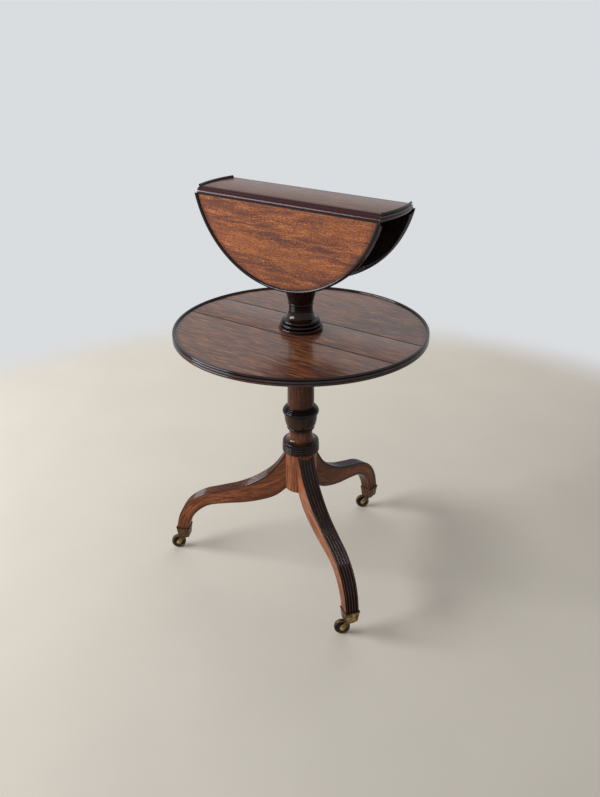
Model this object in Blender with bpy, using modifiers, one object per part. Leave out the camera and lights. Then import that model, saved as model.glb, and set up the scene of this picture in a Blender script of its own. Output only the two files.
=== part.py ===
"""Two-tier dumbwaiter table with drop leaves, on a turned column with three swept legs and castors.

Frame: metres, +Z up. X runs along the leaf joints, +Y points to the back leaf, and the origin is on
the floor under the middle of the table's box. The lower leaves are up and the upper leaves hang.
"""
import math

import bmesh
import bpy
from mathutils import Matrix

# Running gap between neighbouring pieces, how far a cutter passes a surface, and the weld distance
CLEARANCE = 0.0003
OVERRUN = 0.002
WELD = 0.00001

# Tiers
LOWER_RADIUS = 0.270
UPPER_RADIUS = 0.225
LOWER_SURFACE_Z = 0.592
HANGING_LEAF_ROOM = 0.098
BOARD_THICKNESS = 0.015
CENTRE_HALF_WIDTH = 0.054
LOWER_EDGE_STEPS = 60
UPPER_EDGE_STEPS = 52

# Reeded edge moulding round each tier: the top reed stands above the surface as a lip
MOULDING_WIDTH = 0.006
MOULDING_DEPTH = 0.013
LIP_HEIGHT = 0.004
MOULDING_GROOVE = 0.0018
MOULDING_REEDS = 3
LIP_CROWN_SEGMENTS = 5
REED_SEGMENTS = 4

# Rule joint: a square fillet over a quarter round, turning about the centre of the round
RULE_RADIUS = 0.0095
RULE_FILLET = 0.0025
RULE_SEGMENTS = 6

# Back-flap hinges, two to a joint, let in flush with the undersides
HINGE_LENGTH = 0.036
HINGE_MIDDLE = 0.014
HINGE_LEAF_THICKNESS = 0.0014
HINGE_PLATE_REACH = 0.026
HINGE_FLAP_REACH = 0.038
HINGE_PIN_RADIUS = 0.0013
LOWER_HINGE_INSET = 0.100
UPPER_HINGE_INSET = 0.090
KNUCKLE_SEGMENTS = 10
PIN_SIDES = 8

# Countersunk wood screws
SCREW_HEAD_RADIUS = 0.0026
SCREW_SHANK_RADIUS = 0.0012
SCREW_HEAD_HEIGHT = 0.0013
SCREW_LENGTH = 0.009
SCREW_SIDES = 6

# Swivel bearers under the tiers, turning on the column spigots
BEARER_THICKNESS = 0.018
BEARER_END_HALF_WIDTH = 0.016
BEARER_ROOT_HALF_WIDTH = 0.018
BEARER_HUB_RADIUS = 0.024
LOWER_BEARER_REACH = 0.120
UPPER_BEARER_REACH = 0.100
BEARER_END_SEGMENTS = 8
BEARER_HUB_SEGMENTS = 6
SPIGOT_RADIUS = 0.018
TENON_RADIUS = 0.0135
LOWER_TENON_REACH = 0.020
UPPER_TENON_DEPTH = 0.007
STOP_RADIUS = 0.003
STOP_DROP = 0.012
STOP_DEPTH = 0.008
STOP_SIDES = 10

# Screw through the upper board into its column, under a wooden pellet
PELLET_RADIUS = 0.0042
PELLET_HEIGHT = 0.0025
FIXING_HEAD_RADIUS = 0.0038
FIXING_HEAD_HEIGHT = 0.0018
FIXING_SHANK_RADIUS = 0.002
FIXING_LENGTH = 0.026
FIXING_SIDES = 12

# Lower column, from the floor up
BLOCK_BOTTOM_Z = 0.203
BLOCK_RADIUS = 0.036
BLOCK_HEIGHT = 0.0965
COLLAR_RADIUS = 0.0415
COLLAR_GROOVE = 0.0013
COLLAR_REED_HEIGHT = 0.0043
COLLAR_REEDS = 4
BELL_RADIUS = 0.0406
BELL_RISE_HEIGHT = 0.0045
BELL_WAIST_RADIUS = 0.0385
BELL_SHOULDER_HEIGHT = 0.004
BELL_COVE_HEIGHT = 0.0145
NECK_RADIUS = 0.0262
NECK_HEIGHT = 0.0146
DISC_RADIUS = 0.031
DISC_EDGE_RADIUS = 0.0285
DISC_HEIGHT = 0.0058
VASE_LOW_RADIUS = 0.0290
VASE_TOP_RADIUS = 0.0368
VASE_HEIGHT = 0.0324
TORUS_RADIUS = 0.0405
TORUS_EDGE_RADIUS = 0.038
TORUS_HEIGHT = 0.0095
FINE_RADIUS = 0.0378
FINE_REED_HEIGHT = 0.003
FINE_REEDS = 3
FINE_STEP = 0.0025
SHAFT_LOW_RADIUS = 0.0298
SHAFT_TOP_RADIUS = 0.0284
COLUMN_STEPS = 24
TURNED_SEGMENTS = 3

# Upper column, from the lower tier up
BASE_RADIUS = 0.0472
BASE_STEP = 0.0034
BASE_REED_HEIGHT = 0.0077
BASE_REEDS = 3
FLARE_RADIUS = 0.0368
FLARE_HEIGHT = 0.022
UPPER_NECK_RADIUS = 0.025
UPPER_NECK_HEIGHT = 0.0084
RING_RADIUS = 0.0268
RING_HEIGHT = 0.005
CUP_LOW_RADIUS = 0.026
CUP_TOP_RADIUS = 0.039
CUP_HEIGHT = 0.0526
CUP_LIP_RADIUS = 0.0405
CUP_LIP_HEIGHT = 0.007
CUP_SHOULDER_HEIGHT = 0.020
UPPER_SHAFT_RADIUS = 0.024
CAPITAL_RADIUS = 0.031
CAPITAL_REED_HEIGHT = 0.007
CAPITAL_REEDS = 2
CAPITAL_GROOVE = 0.0024

# Legs: root in the block, foot in the castor cap; outlines as shares of the root-to-foot spans
LEG_ANGLES = {"back": 90.0, "left": 210.0, "right": 330.0}
STAND_TURN = -4.0
LEG_ROOT_RADIUS = 0.030
LEG_ROOT_WIDTH = 0.036
FOOT_RADIUS = 0.286
FOOT_WIDTH = 0.029
LEG_TOP_SHARES = (
    (0.0, 1.0), (0.115, 0.792), (0.25, 0.657), (0.41, 0.5555), (0.585, 0.488),
    (0.75, 0.425), (0.885, 0.314), (0.965, 0.164), (1.0, 0.0),
)
LEG_UNDER_SHARES = (
    (0.0, 1.0), (0.11, 0.83), (0.25, 0.72), (0.415, 0.64), (0.62, 0.58),
    (0.79, 0.505), (0.91, 0.34), (0.975, 0.15), (1.0, 0.0),
)
LEG_PATH_SEGMENTS = 2
LEG_REEDS = 5
LEG_REED_SEGMENTS = 3
LEG_REED_DEPTH = 0.0016
TONGUE_LENGTH = 0.012
TONGUE_ROOT_WIDTH = 0.014
TONGUE_END_WIDTH = 0.019
TONGUE_TOP_DROP = 0.006

# Iron plate that keeps the dovetails from sliding down out of the block
PLATE_RADIUS = 0.029
PLATE_THICKNESS = 0.0025
PLATE_SIDES = 24
PLATE_SCREW_RADIUS = 0.0225
PLATE_SCREW_HEAD_RADIUS = 0.0034
PLATE_SCREW_SHANK_RADIUS = 0.0017
PLATE_SCREW_HEAD_HEIGHT = 0.002
PLATE_SCREW_LENGTH = 0.018

# Brass castors: square tapered cap, swivelling horn and turned wheel
CAP_TOP_Z = 0.064
CAP_BOTTOM_Z = 0.036
CAP_WALL = 0.0012
CAP_FLOOR = 0.003
CAP_BOTTOM_WIDTH = 0.026
CAP_RIM_WIDTH = 0.0004
CAP_RIM_HEIGHT = 0.003
CAP_SCREW_DROP = 0.010
TRAIL_ANGLE = 215.0
TRAIL = 0.016
WHEEL_RADIUS = 0.017
WHEEL_HUB_WIDTH = 0.012
WHEEL_RIM_WIDTH = 0.010
WHEEL_WEB_WIDTH = 0.004
WHEEL_HUB_RADIUS = 0.0052
WHEEL_RIM_DEPTH = 0.0038
WHEEL_ROUNDING = 0.0012
WHEEL_STEPS = 20
AXLE_RADIUS = 0.002
AXLE_HEAD_RADIUS = 0.0036
AXLE_HEAD_HEIGHT = 0.0015
AXLE_SIDES = 10
HORN_THICKNESS = 0.0022
HORN_ARM = 0.0025
HORN_HALF_LENGTH = 0.0085
HORN_THROAT_DROP = 0.003
HORN_BOSS_RADIUS = 0.0052
HORN_BOSS_SEGMENTS = 6
STEM_RADIUS = 0.003
STEM_HEAD_RADIUS = 0.0042
STEM_HEAD_HEIGHT = 0.0015
STEM_SIDES = 12

# Worked out from the sizes above
PIVOT_DROP = RULE_RADIUS + RULE_FILLET
PIVOT_LIFT = BOARD_THICKNESS - PIVOT_DROP
KNUCKLE_RADIUS = PIVOT_LIFT
UPPER_LEAF_DROP = PIVOT_DROP + UPPER_RADIUS - CENTRE_HALF_WIDTH
UPPER_SURFACE_Z = LOWER_SURFACE_Z + HANGING_LEAF_ROOM + UPPER_LEAF_DROP
LOWER_HINGE_X = LOWER_RADIUS - LOWER_HINGE_INSET
UPPER_HINGE_X = UPPER_RADIUS - UPPER_HINGE_INSET
BEARER_SPACE = BEARER_THICKNESS + 2 * CLEARANCE
COLLAR_BOTTOM_Z = BLOCK_BOTTOM_Z + BLOCK_HEIGHT
CAP_TOP_HALF = FOOT_WIDTH / 2 + CLEARANCE + CAP_WALL
FOOT_REACH = FOOT_RADIUS + CAP_TOP_HALF + CAP_RIM_WIDTH
COLUMN_Y = (LOWER_RADIUS - FOOT_REACH) / 2
LEFT_FOOT_X = FOOT_RADIUS * math.cos(math.radians(LEG_ANGLES["left"] + STAND_TURN))
TREAD_X = (TRAIL + WHEEL_RADIUS) * math.cos(math.radians(TRAIL_ANGLE))
COLUMN_X = -(LOWER_RADIUS + LEFT_FOOT_X + TREAD_X) / 2
HORN_HALF_WIDTH = WHEEL_HUB_WIDTH / 2 + CLEARANCE + HORN_ARM
STOP_OFFSET = BEARER_ROOT_HALF_WIDTH + STOP_RADIUS + CLEARANCE

TIERS = {
    "lower": {
        "radius": LOWER_RADIUS, "surface": LOWER_SURFACE_Z, "steps": LOWER_EDGE_STEPS,
        "hinge_x": LOWER_HINGE_X, "reach": LOWER_BEARER_REACH, "drop": 0.0,
    },
    "upper": {
        "radius": UPPER_RADIUS, "surface": UPPER_SURFACE_Z, "steps": UPPER_EDGE_STEPS,
        "hinge_x": UPPER_HINGE_X, "reach": UPPER_BEARER_REACH, "drop": -90.0,
    },
}
SIDES = {"back": 1, "front": -1}
ENDS = {"left": -1, "right": 1}

# Turn an outline drawn in X and Y so that it is extruded along X or along Y
ALONG_X = Matrix(((0, 0, 1, 0), (1, 0, 0, 0), (0, 1, 0, 0), (0, 0, 0, 1)))
ALONG_Y = Matrix(((1, 0, 0, 0), (0, 0, -1, 0), (0, 1, 0, 0), (0, 0, 0, 1)))


# Scene, materials and objects

def clear_scene():
    """Remove whatever the file opened with."""
    for obj in list(bpy.data.objects):
        bpy.data.objects.remove(obj)


def make_collections():
    """One collection for the table's pieces, and one for the cutters."""
    made = []
    for name in ("dumbwaiter_table", "cutters"):
        collection = bpy.data.collections.new(name)
        bpy.context.scene.collection.children.link(collection)
        made.append(collection)
    return made


def make_material(name, colour, roughness, metallic=0.0):
    """A plain finish."""
    material = bpy.data.materials.new(name)
    material.use_nodes = True
    shader = material.node_tree.nodes["Principled BSDF"]
    shader.inputs["Base Color"].default_value = (*colour, 1.0)
    shader.inputs["Roughness"].default_value = roughness
    shader.inputs["Metallic"].default_value = metallic
    material.diffuse_color = (*colour, 1.0)
    return material


def frame_empty(name, parent, location=(0.0, 0.0, 0.0), turn=0.0, tilt=0.0):
    """An axis that pieces hang from: turned about Z after a tilt about its own X."""
    empty = bpy.data.objects.new(name, None)
    PARTS.objects.link(empty)
    empty.parent = parent
    empty.location = location
    empty.rotation_euler = (math.radians(tilt), 0.0, math.radians(turn))
    return empty


def put(obj, parent, material=None):
    """Hang a piece from its axis, with its finish."""
    obj.parent = parent
    if material:
        obj.data.materials.clear()
        obj.data.materials.append(material)
    return obj


def part(name, mesh, parent, material):
    """A finished sub-part."""
    mesh.name = name
    obj = bpy.data.objects.new(name, mesh)
    PARTS.objects.link(obj)
    return put(obj, parent, material)


def cutter(name, mesh, parent):
    """A shape that only cuts others."""
    mesh.name = name
    obj = bpy.data.objects.new(name, mesh)
    CUTTERS.objects.link(obj)
    obj.hide_render = True
    obj.display_type = "WIRE"
    return put(obj, parent)


def combine(target, tool, operation="DIFFERENCE"):
    """Cut a piece with another, join them or keep what they share."""
    modifier = target.modifiers.new(tool.name, "BOOLEAN")
    modifier.operation = operation
    modifier.solver = "EXACT"
    modifier.object = tool


# Meshes

def finished_mesh(bm):
    """Weld a shape and turn its faces outward."""
    bmesh.ops.remove_doubles(bm, verts=bm.verts, dist=WELD)
    bmesh.ops.recalc_face_normals(bm, faces=bm.faces)
    mesh = bpy.data.meshes.new("shape")
    bm.to_mesh(mesh)
    bm.free()
    return mesh


def evaluated_mesh(obj):
    """The mesh that an object's modifiers or curve give, with the object removed."""
    bpy.context.view_layer.update()
    graph = bpy.context.evaluated_depsgraph_get()
    mesh = bpy.data.meshes.new_from_object(obj.evaluated_get(graph))
    bpy.data.objects.remove(obj)
    return mesh


def box_mesh(low, high):
    """A block between two corners."""
    size = [h - l for l, h in zip(low, high)]
    middle = [(h + l) / 2 for l, h in zip(low, high)]
    bm = bmesh.new()
    bmesh.ops.create_cube(bm, size=1.0, matrix=Matrix.Translation(middle) @ Matrix.Diagonal((*size, 1.0)))
    return finished_mesh(bm)


def rod_mesh(radius, low, high, sides):
    """A straight round bar along Z."""
    bm = bmesh.new()
    place = Matrix.Translation((0.0, 0.0, (low + high) / 2))
    bmesh.ops.create_cone(
        bm, cap_ends=True, segments=sides, radius1=radius, radius2=radius, depth=high - low, matrix=place
    )
    return finished_mesh(bm)


def square_taper_mesh(low_half, high_half, low, high):
    """A square block that tapers along Z, given as half widths."""
    corner = math.sqrt(2.0)
    bm = bmesh.new()
    place = Matrix.Translation((0.0, 0.0, (low + high) / 2)) @ Matrix.Rotation(math.pi / 4, 4, "Z")
    bmesh.ops.create_cone(
        bm, cap_ends=True, segments=4, radius1=low_half * corner, radius2=high_half * corner,
        depth=high - low, matrix=place,
    )
    return finished_mesh(bm)


def turned_mesh(profile, steps, ring=False):
    """A turned piece. The profile lists radius and height from the bottom up its outer side."""
    points = [(radius, 0.0, height) for radius, height in reversed(profile)]
    edges = [(i, i + 1) for i in range(len(points) - 1)]
    if ring:
        edges.append((len(points) - 1, 0))
    mesh = bpy.data.meshes.new("profile")
    mesh.from_pydata(points, edges, [])
    obj = bpy.data.objects.new("turned", mesh)
    CUTTERS.objects.link(obj)
    screw = obj.modifiers.new("turn", "SCREW")
    screw.steps = steps
    screw.render_steps = steps
    screw.use_merge_vertices = True
    screw.merge_threshold = WELD
    return evaluated_mesh(obj)


def extruded_mesh(outline, thickness, turn=None):
    """A flat outline with a thickness, centred on its plane."""
    curve = bpy.data.curves.new("outline", "CURVE")
    curve.dimensions = "2D"
    curve.fill_mode = "BOTH"
    curve.extrude = thickness / 2
    spline = curve.splines.new("POLY")
    spline.points.add(len(outline) - 1)
    for point, (x, y) in zip(spline.points, outline):
        point.co = (x, y, 0.0, 1.0)
    spline.use_cyclic_u = True
    obj = bpy.data.objects.new("outline", curve)
    CUTTERS.objects.link(obj)
    mesh = evaluated_mesh(obj)
    bm = bmesh.new()
    bm.from_mesh(mesh)
    mesh = finished_mesh(bm)
    if turn:
        mesh.transform(turn)
    return mesh


def arc(centre, radius, start, end, segments):
    """Points on an arc between two angles in degrees, ends included."""
    points = []
    for i in range(segments + 1):
        angle = math.radians(start + (end - start) * i / segments)
        points.append((centre[0] + radius * math.cos(angle), centre[1] + radius * math.sin(angle)))
    return points


# Turning profiles, each going up from the height where it starts

def reed(z, height, edge, crown, segments=TURNED_SEGMENTS):
    """A half-round swelling between two grooves."""
    points = []
    for i in range(segments + 1):
        angle = math.pi * i / segments
        points.append((edge + (crown - edge) * math.sin(angle), z + height * (1 - math.cos(angle)) / 2))
    return points


def cove(z, height, low, top, segments=TURNED_SEGMENTS):
    """A hollow that leaves its low radius flat and ends upright."""
    points = []
    for i in range(segments + 1):
        angle = math.pi / 2 * i / segments
        points.append((low + (top - low) * math.sin(angle), z + height * (1 - math.cos(angle))))
    return points


def swell(z, height, low, top, segments=TURNED_SEGMENTS):
    """A rounded shoulder that leaves its low radius upright and ends flat."""
    points = []
    for i in range(segments + 1):
        angle = math.pi / 2 * i / segments
        points.append((low + (top - low) * (1 - math.cos(angle)), z + height * math.sin(angle)))
    return points


def joined(*runs):
    """One profile from several runs, without repeated points."""
    points = []
    for run in runs:
        for point in run:
            if not points or math.dist(point, points[-1]) > WELD:
                points.append(point)
    return points


# Screws

def screw_profile(head, shank, head_height, length, grow=0.0):
    """A countersunk screw pointing up, its head's face at zero height."""
    return [
        (0.0, -grow), (head + grow, -grow), (head + grow, grow), (shank + grow, head_height + grow),
        (shank + grow, length + grow), (0.0, length + grow),
    ]


def make_screw(name, parent, material, sizes, sides, bitten):
    """A screw along its frame's Z, and its hole in each piece that it passes into."""
    part(name, turned_mesh(screw_profile(*sizes), sides), parent, material)
    hole = cutter(name + "_hole", turned_mesh(screw_profile(*sizes, grow=CLEARANCE), sides), parent)
    for piece in bitten:
        combine(piece, hole)


# Tiers: boards, leaves and mouldings

def rule_edge(sign, grow):
    """The rule joint's curve from the top down, about the pivot: the board's round, or the leaf's hollow."""
    radius = RULE_RADIUS + grow
    lowest = -math.degrees(math.asin(PIVOT_LIFT / radius)) if sign < 0 else 0.0
    return arc((0.0, 0.0), radius, 90.0, lowest, RULE_SEGMENTS)


def board_outline():
    """Section of the centre board and of its mouldings' ends, in Y and Z about the middle of the top."""
    half = CENTRE_HALF_WIDTH
    top = LIP_HEIGHT + OVERRUN
    right = [(half - CLEARANCE, top)]
    right += [(half - CLEARANCE + y, z - PIVOT_DROP) for y, z in rule_edge(-1, 0.0)]
    right.append((right[-1][0], -BOARD_THICKNESS - OVERRUN))
    left = [(-y, z) for y, z in reversed(right)]
    return right + left


def leaf_outline(radius):
    """Section of a leaf and of its moulding, in Y and Z about the pivot."""
    out = radius - CENTRE_HALF_WIDTH + OVERRUN
    top = PIVOT_DROP + LIP_HEIGHT + OVERRUN
    bottom = -PIVOT_LIFT - OVERRUN
    start = [(out, bottom), (out, top), (0.0, top)]
    return start + rule_edge(1, CLEARANCE) + [(RULE_RADIUS + CLEARANCE, bottom)]


def moulding_profile(radius):
    """Section of the reeded edge, closed, from its outer foot up and down its back."""
    back = radius - MOULDING_WIDTH
    groove = radius - MOULDING_GROOVE
    height = (MOULDING_DEPTH + LIP_HEIGHT) / MOULDING_REEDS
    points = []
    for i in range(MOULDING_REEDS - 1):
        points = joined(points, reed(-MOULDING_DEPTH + i * height, height, groove, radius, REED_SEGMENTS))
    crown = MOULDING_WIDTH / 2
    middle = LIP_HEIGHT - crown
    top = arc((radius - crown, middle), crown, 0.0, 180.0, LIP_CROWN_SEGMENTS)
    return joined(points, top, [(back, -MOULDING_DEPTH)])


def make_tier(name, tier, table):
    """One tier: centre board with a moulding at each end, and two leaves."""
    radius = tier["radius"]
    board_radius = radius - MOULDING_WIDTH - CLEARANCE
    deck = frame_empty(name + "_deck", table, (0.0, 0.0, tier["surface"]))
    disc = rod_mesh(board_radius, -BOARD_THICKNESS, 0.0, tier["steps"])
    ring = turned_mesh(moulding_profile(radius), tier["steps"], ring=True)

    board = part(name + "_centre_board", disc.copy(), deck, MAHOGANY)
    section = extruded_mesh(board_outline(), 2 * radius + OVERRUN, ALONG_X)
    combine(board, cutter(name + "_board_section", section, deck), "INTERSECT")
    for end, sign in ENDS.items():
        edging = part(f"{name}_{end}_end_moulding", ring.copy(), deck, EDGE_MAHOGANY)
        mesh = extruded_mesh(board_outline(), radius, ALONG_X)
        mesh.transform(Matrix.Translation((sign * radius, 0.0, 0.0)))
        combine(edging, cutter(f"{name}_{end}_end_section", mesh, deck), "INTERSECT")

    for side, facing in SIDES.items():
        make_leaf(name, side, facing, tier, deck, board, disc, ring)
    return deck, board


def make_leaf(name, side, facing, tier, deck, board, disc, ring):
    """A leaf with its moulding and hinges, about its pivot, and the hinges' seats in the board."""
    label = f"{name}_{side}"
    turn = 0.0 if facing > 0 else 180.0
    line = frame_empty(label + "_line", deck, (0.0, facing * CENTRE_HALF_WIDTH, -PIVOT_DROP), turn)
    pivot = frame_empty(label + "_pivot", line, tilt=tier["drop"])
    to_pivot = Matrix.Translation((0.0, -CENTRE_HALF_WIDTH, PIVOT_DROP))
    leaf_mesh = disc.copy()
    leaf_mesh.transform(to_pivot)
    ring_mesh = ring.copy()
    ring_mesh.transform(to_pivot)

    leaf = part(label + "_leaf", leaf_mesh, pivot, MAHOGANY)
    edging = part(label + "_leaf_moulding", ring_mesh, pivot, EDGE_MAHOGANY)
    outline = leaf_outline(tier["radius"])
    width = 2 * tier["radius"] + OVERRUN
    section = cutter(label + "_section", extruded_mesh(outline, width, ALONG_X), pivot)
    combine(leaf, section, "INTERSECT")
    combine(edging, section, "INTERSECT")
    make_hinges(label, facing * tier["hinge_x"], line, pivot, board, leaf)


# Hinges

def knuckle_outline(sign):
    """A knuckle with the strip that joins it to its leaf, in Y and Z about the pin."""
    under = -KNUCKLE_RADIUS
    upper = under + HINGE_LEAF_THICKNESS
    start = math.degrees(math.asin(upper / KNUCKLE_RADIUS))
    strip = KNUCKLE_RADIUS + CLEARANCE + OVERRUN / 2
    curl = arc((0.0, 0.0), KNUCKLE_RADIUS, start, 270.0, KNUCKLE_SEGMENTS)
    points = [(strip, under), (strip, upper)] + curl
    return [(sign * y, z) for y, z in points]


def hinge_leaf(name, sign, reach, spans, parent):
    """A hinge's plate or flap with its knuckles."""
    start = KNUCKLE_RADIUS + CLEARANCE
    half = HINGE_LENGTH / 2
    under = -KNUCKLE_RADIUS
    ends = sorted((sign * start, sign * reach))
    plate = box_mesh((-half, ends[0], under), (half, ends[1], under + HINGE_LEAF_THICKNESS))
    leaf = part(name, plate, parent, BRASS)
    for i, (low, high) in enumerate(spans):
        knuckle = extruded_mesh(knuckle_outline(sign), high - low, ALONG_X)
        knuckle.transform(Matrix.Translation(((low + high) / 2, 0.0, 0.0)))
        combine(leaf, cutter(f"{name}_knuckle_{i}", knuckle, parent), "UNION")
    return leaf


def hinge_pin(name, radius, half, parent):
    """A round bar along the joint, for the pin or its bore."""
    rod = rod_mesh(radius, -half, half, PIN_SIDES)
    rod.transform(Matrix.Rotation(math.pi / 2, 4, "Y"))
    return cutter(name, rod, parent)


def make_hinges(label, hinge_x, line, pivot, board, leaf):
    """Two back-flap hinges: a plate with its pin on the board, a flap on the leaf, and their seats."""
    half = HINGE_LENGTH / 2
    inner = HINGE_MIDDLE / 2
    outer = inner + CLEARANCE
    for end, sign in ENDS.items():
        name = f"{label}_{end}_hinge"
        still = frame_empty(name + "_place", line, (sign * hinge_x, 0.0, 0.0))
        moving = frame_empty(name + "_axis", pivot, (sign * hinge_x, 0.0, 0.0))
        plate = hinge_leaf(name + "_plate", -1, HINGE_PLATE_REACH, ((-half, -outer), (outer, half)), still)
        combine(plate, hinge_pin(name + "_pin", HINGE_PIN_RADIUS, half, still), "UNION")
        flap = hinge_leaf(name + "_flap", 1, HINGE_FLAP_REACH, ((-inner, inner),), moving)
        combine(flap, hinge_pin(name + "_bore", HINGE_PIN_RADIUS + CLEARANCE, half + OVERRUN, moving))
        cut_hinge_seats(name, still, moving, board, leaf)


def cut_hinge_seats(name, still, moving, board, leaf):
    """Let the plate and knuckles into the board, and the flap into the leaf."""
    room = KNUCKLE_RADIUS + CLEARANCE
    bottom = -PIVOT_LIFT - OVERRUN
    pocket = -PIVOT_LIFT + HINGE_LEAF_THICKNESS + CLEARANCE
    back = -HINGE_PLATE_REACH - CLEARANCE
    edge = RULE_RADIUS + OVERRUN
    seat = [
        (back, bottom), (edge, bottom), (edge, CLEARANCE), (room, CLEARANCE), (room, room), (-room, room),
        (-room, pocket), (back, pocket),
    ]
    length = HINGE_LENGTH + 2 * CLEARANCE
    combine(board, cutter(name + "_plate_seat", extruded_mesh(seat, length, ALONG_X), still))
    low = (-length / 2, RULE_RADIUS - OVERRUN, bottom)
    high = (length / 2, HINGE_FLAP_REACH + CLEARANCE, pocket)
    combine(leaf, cutter(name + "_flap_seat", box_mesh(low, high), moving))


# Bearers and their stops

def bearer_outline(reach):
    """A bar with round ends that widens to a round hub, seen from above."""
    half = BEARER_END_HALF_WIDTH
    hub = math.degrees(math.asin(BEARER_ROOT_HALF_WIDTH / BEARER_HUB_RADIUS))
    end = reach - half
    points = arc((end, 0.0), half, -90.0, 90.0, BEARER_END_SEGMENTS)
    points += arc((0.0, 0.0), BEARER_HUB_RADIUS, hub, 180.0 - hub, BEARER_HUB_SEGMENTS)
    points += arc((-end, 0.0), half, 90.0, 270.0, BEARER_END_SEGMENTS)
    points += arc((0.0, 0.0), BEARER_HUB_RADIUS, 180.0 + hub, 360.0 - hub, BEARER_HUB_SEGMENTS)
    return points


def make_bearer(name, tier, deck, board):
    """The swivel bearer in line with its board, and the peg that stops it at each end of its swing."""
    middle = -BOARD_THICKNESS - BEARER_SPACE / 2
    axis = frame_empty(name + "_bearer_pivot", deck, (0.0, 0.0, middle))
    mesh = extruded_mesh(bearer_outline(tier["reach"]), BEARER_THICKNESS)
    bearer = part(name + "_bearer", mesh, axis, MAHOGANY)
    bore = rod_mesh(SPIGOT_RADIUS + CLEARANCE, -BEARER_THICKNESS, BEARER_THICKNESS, COLUMN_STEPS)
    combine(bearer, cutter(name + "_bearer_bore", bore, axis))

    spot = frame_empty(name + "_stop_place", deck, (STOP_OFFSET, -STOP_OFFSET, -BOARD_THICKNESS))
    peg = rod_mesh(STOP_RADIUS, -STOP_DROP, STOP_DEPTH, STOP_SIDES)
    part(name + "_bearer_stop", peg, spot, MAHOGANY)
    hole = rod_mesh(STOP_RADIUS + CLEARANCE, -OVERRUN, STOP_DEPTH + CLEARANCE, STOP_SIDES)
    combine(board, cutter(name + "_stop_hole", hole, spot))


# Columns

def lower_column_profile():
    """From the block's foot up to the top of the tenon."""
    z = BLOCK_BOTTOM_Z
    runs = [[(0.0, z), (BLOCK_RADIUS, z), (BLOCK_RADIUS, COLLAR_BOTTOM_Z)]]
    z = COLLAR_BOTTOM_Z
    for _ in range(COLLAR_REEDS):
        runs.append(reed(z, COLLAR_REED_HEIGHT, COLLAR_RADIUS - COLLAR_GROOVE, COLLAR_RADIUS))
        z += COLLAR_REED_HEIGHT
    runs.append([(BELL_RADIUS, z)])
    z += BELL_RISE_HEIGHT
    runs.append(swell(z, BELL_SHOULDER_HEIGHT, BELL_RADIUS, BELL_WAIST_RADIUS))
    z += BELL_SHOULDER_HEIGHT
    runs.append(cove(z, BELL_COVE_HEIGHT, BELL_WAIST_RADIUS, NECK_RADIUS))
    z += BELL_COVE_HEIGHT + NECK_HEIGHT
    runs.append([(NECK_RADIUS, z)])
    runs.append(reed(z, DISC_HEIGHT, DISC_EDGE_RADIUS, DISC_RADIUS))
    z += DISC_HEIGHT
    runs.append(cove(z, VASE_HEIGHT, VASE_LOW_RADIUS, VASE_TOP_RADIUS))
    z += VASE_HEIGHT
    runs.append(reed(z, TORUS_HEIGHT, TORUS_EDGE_RADIUS, TORUS_RADIUS))
    z += TORUS_HEIGHT
    for i in range(FINE_REEDS):
        crown = FINE_RADIUS - i * FINE_STEP
        runs.append(reed(z, FINE_REED_HEIGHT, crown - FINE_STEP, crown))
        z += FINE_REED_HEIGHT
    shoulder = LOWER_SURFACE_Z - BOARD_THICKNESS - BEARER_SPACE
    seat = LOWER_SURFACE_Z - BOARD_THICKNESS - CLEARANCE
    tip = LOWER_SURFACE_Z + LOWER_TENON_REACH
    runs.append([(SHAFT_LOW_RADIUS, z), (SHAFT_TOP_RADIUS, shoulder), (SPIGOT_RADIUS, shoulder)])
    runs.append([(SPIGOT_RADIUS, seat), (TENON_RADIUS, seat), (TENON_RADIUS, tip), (0.0, tip)])
    return joined(*runs)


def upper_column_profile():
    """From the foot on the lower board up to the top of the tenon in the upper board."""
    z = LOWER_SURFACE_Z + CLEARANCE
    runs = [[(0.0, z)]]
    for i in range(BASE_REEDS):
        crown = BASE_RADIUS - i * BASE_STEP
        runs.append(reed(z, BASE_REED_HEIGHT, crown - BASE_STEP, crown))
        z += BASE_REED_HEIGHT
    runs.append(cove(z, FLARE_HEIGHT, FLARE_RADIUS, UPPER_NECK_RADIUS, REED_SEGMENTS))
    z += FLARE_HEIGHT + UPPER_NECK_HEIGHT
    runs.append(reed(z, RING_HEIGHT, UPPER_NECK_RADIUS, RING_RADIUS))
    z += RING_HEIGHT
    runs.append([(CUP_LOW_RADIUS, z)])
    z += CUP_HEIGHT
    runs.append([(CUP_TOP_RADIUS, z)])
    runs.append(reed(z, CUP_LIP_HEIGHT, CUP_TOP_RADIUS, CUP_LIP_RADIUS))
    z += CUP_LIP_HEIGHT
    runs.append(cove(z, CUP_SHOULDER_HEIGHT, CUP_TOP_RADIUS, UPPER_SHAFT_RADIUS))
    shoulder = UPPER_SURFACE_Z - BOARD_THICKNESS - BEARER_SPACE
    z = shoulder - CAPITAL_REEDS * CAPITAL_REED_HEIGHT
    runs.append([(UPPER_SHAFT_RADIUS, z)])
    for _ in range(CAPITAL_REEDS):
        runs.append(reed(z, CAPITAL_REED_HEIGHT, CAPITAL_RADIUS - CAPITAL_GROOVE, CAPITAL_RADIUS))
        z += CAPITAL_REED_HEIGHT
    seat = UPPER_SURFACE_Z - BOARD_THICKNESS - CLEARANCE
    tip = UPPER_SURFACE_Z - BOARD_THICKNESS + UPPER_TENON_DEPTH
    runs.append([(SPIGOT_RADIUS, shoulder), (SPIGOT_RADIUS, seat)])
    runs.append([(TENON_RADIUS, seat), (TENON_RADIUS, tip), (0.0, tip)])
    return joined(*runs)


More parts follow.
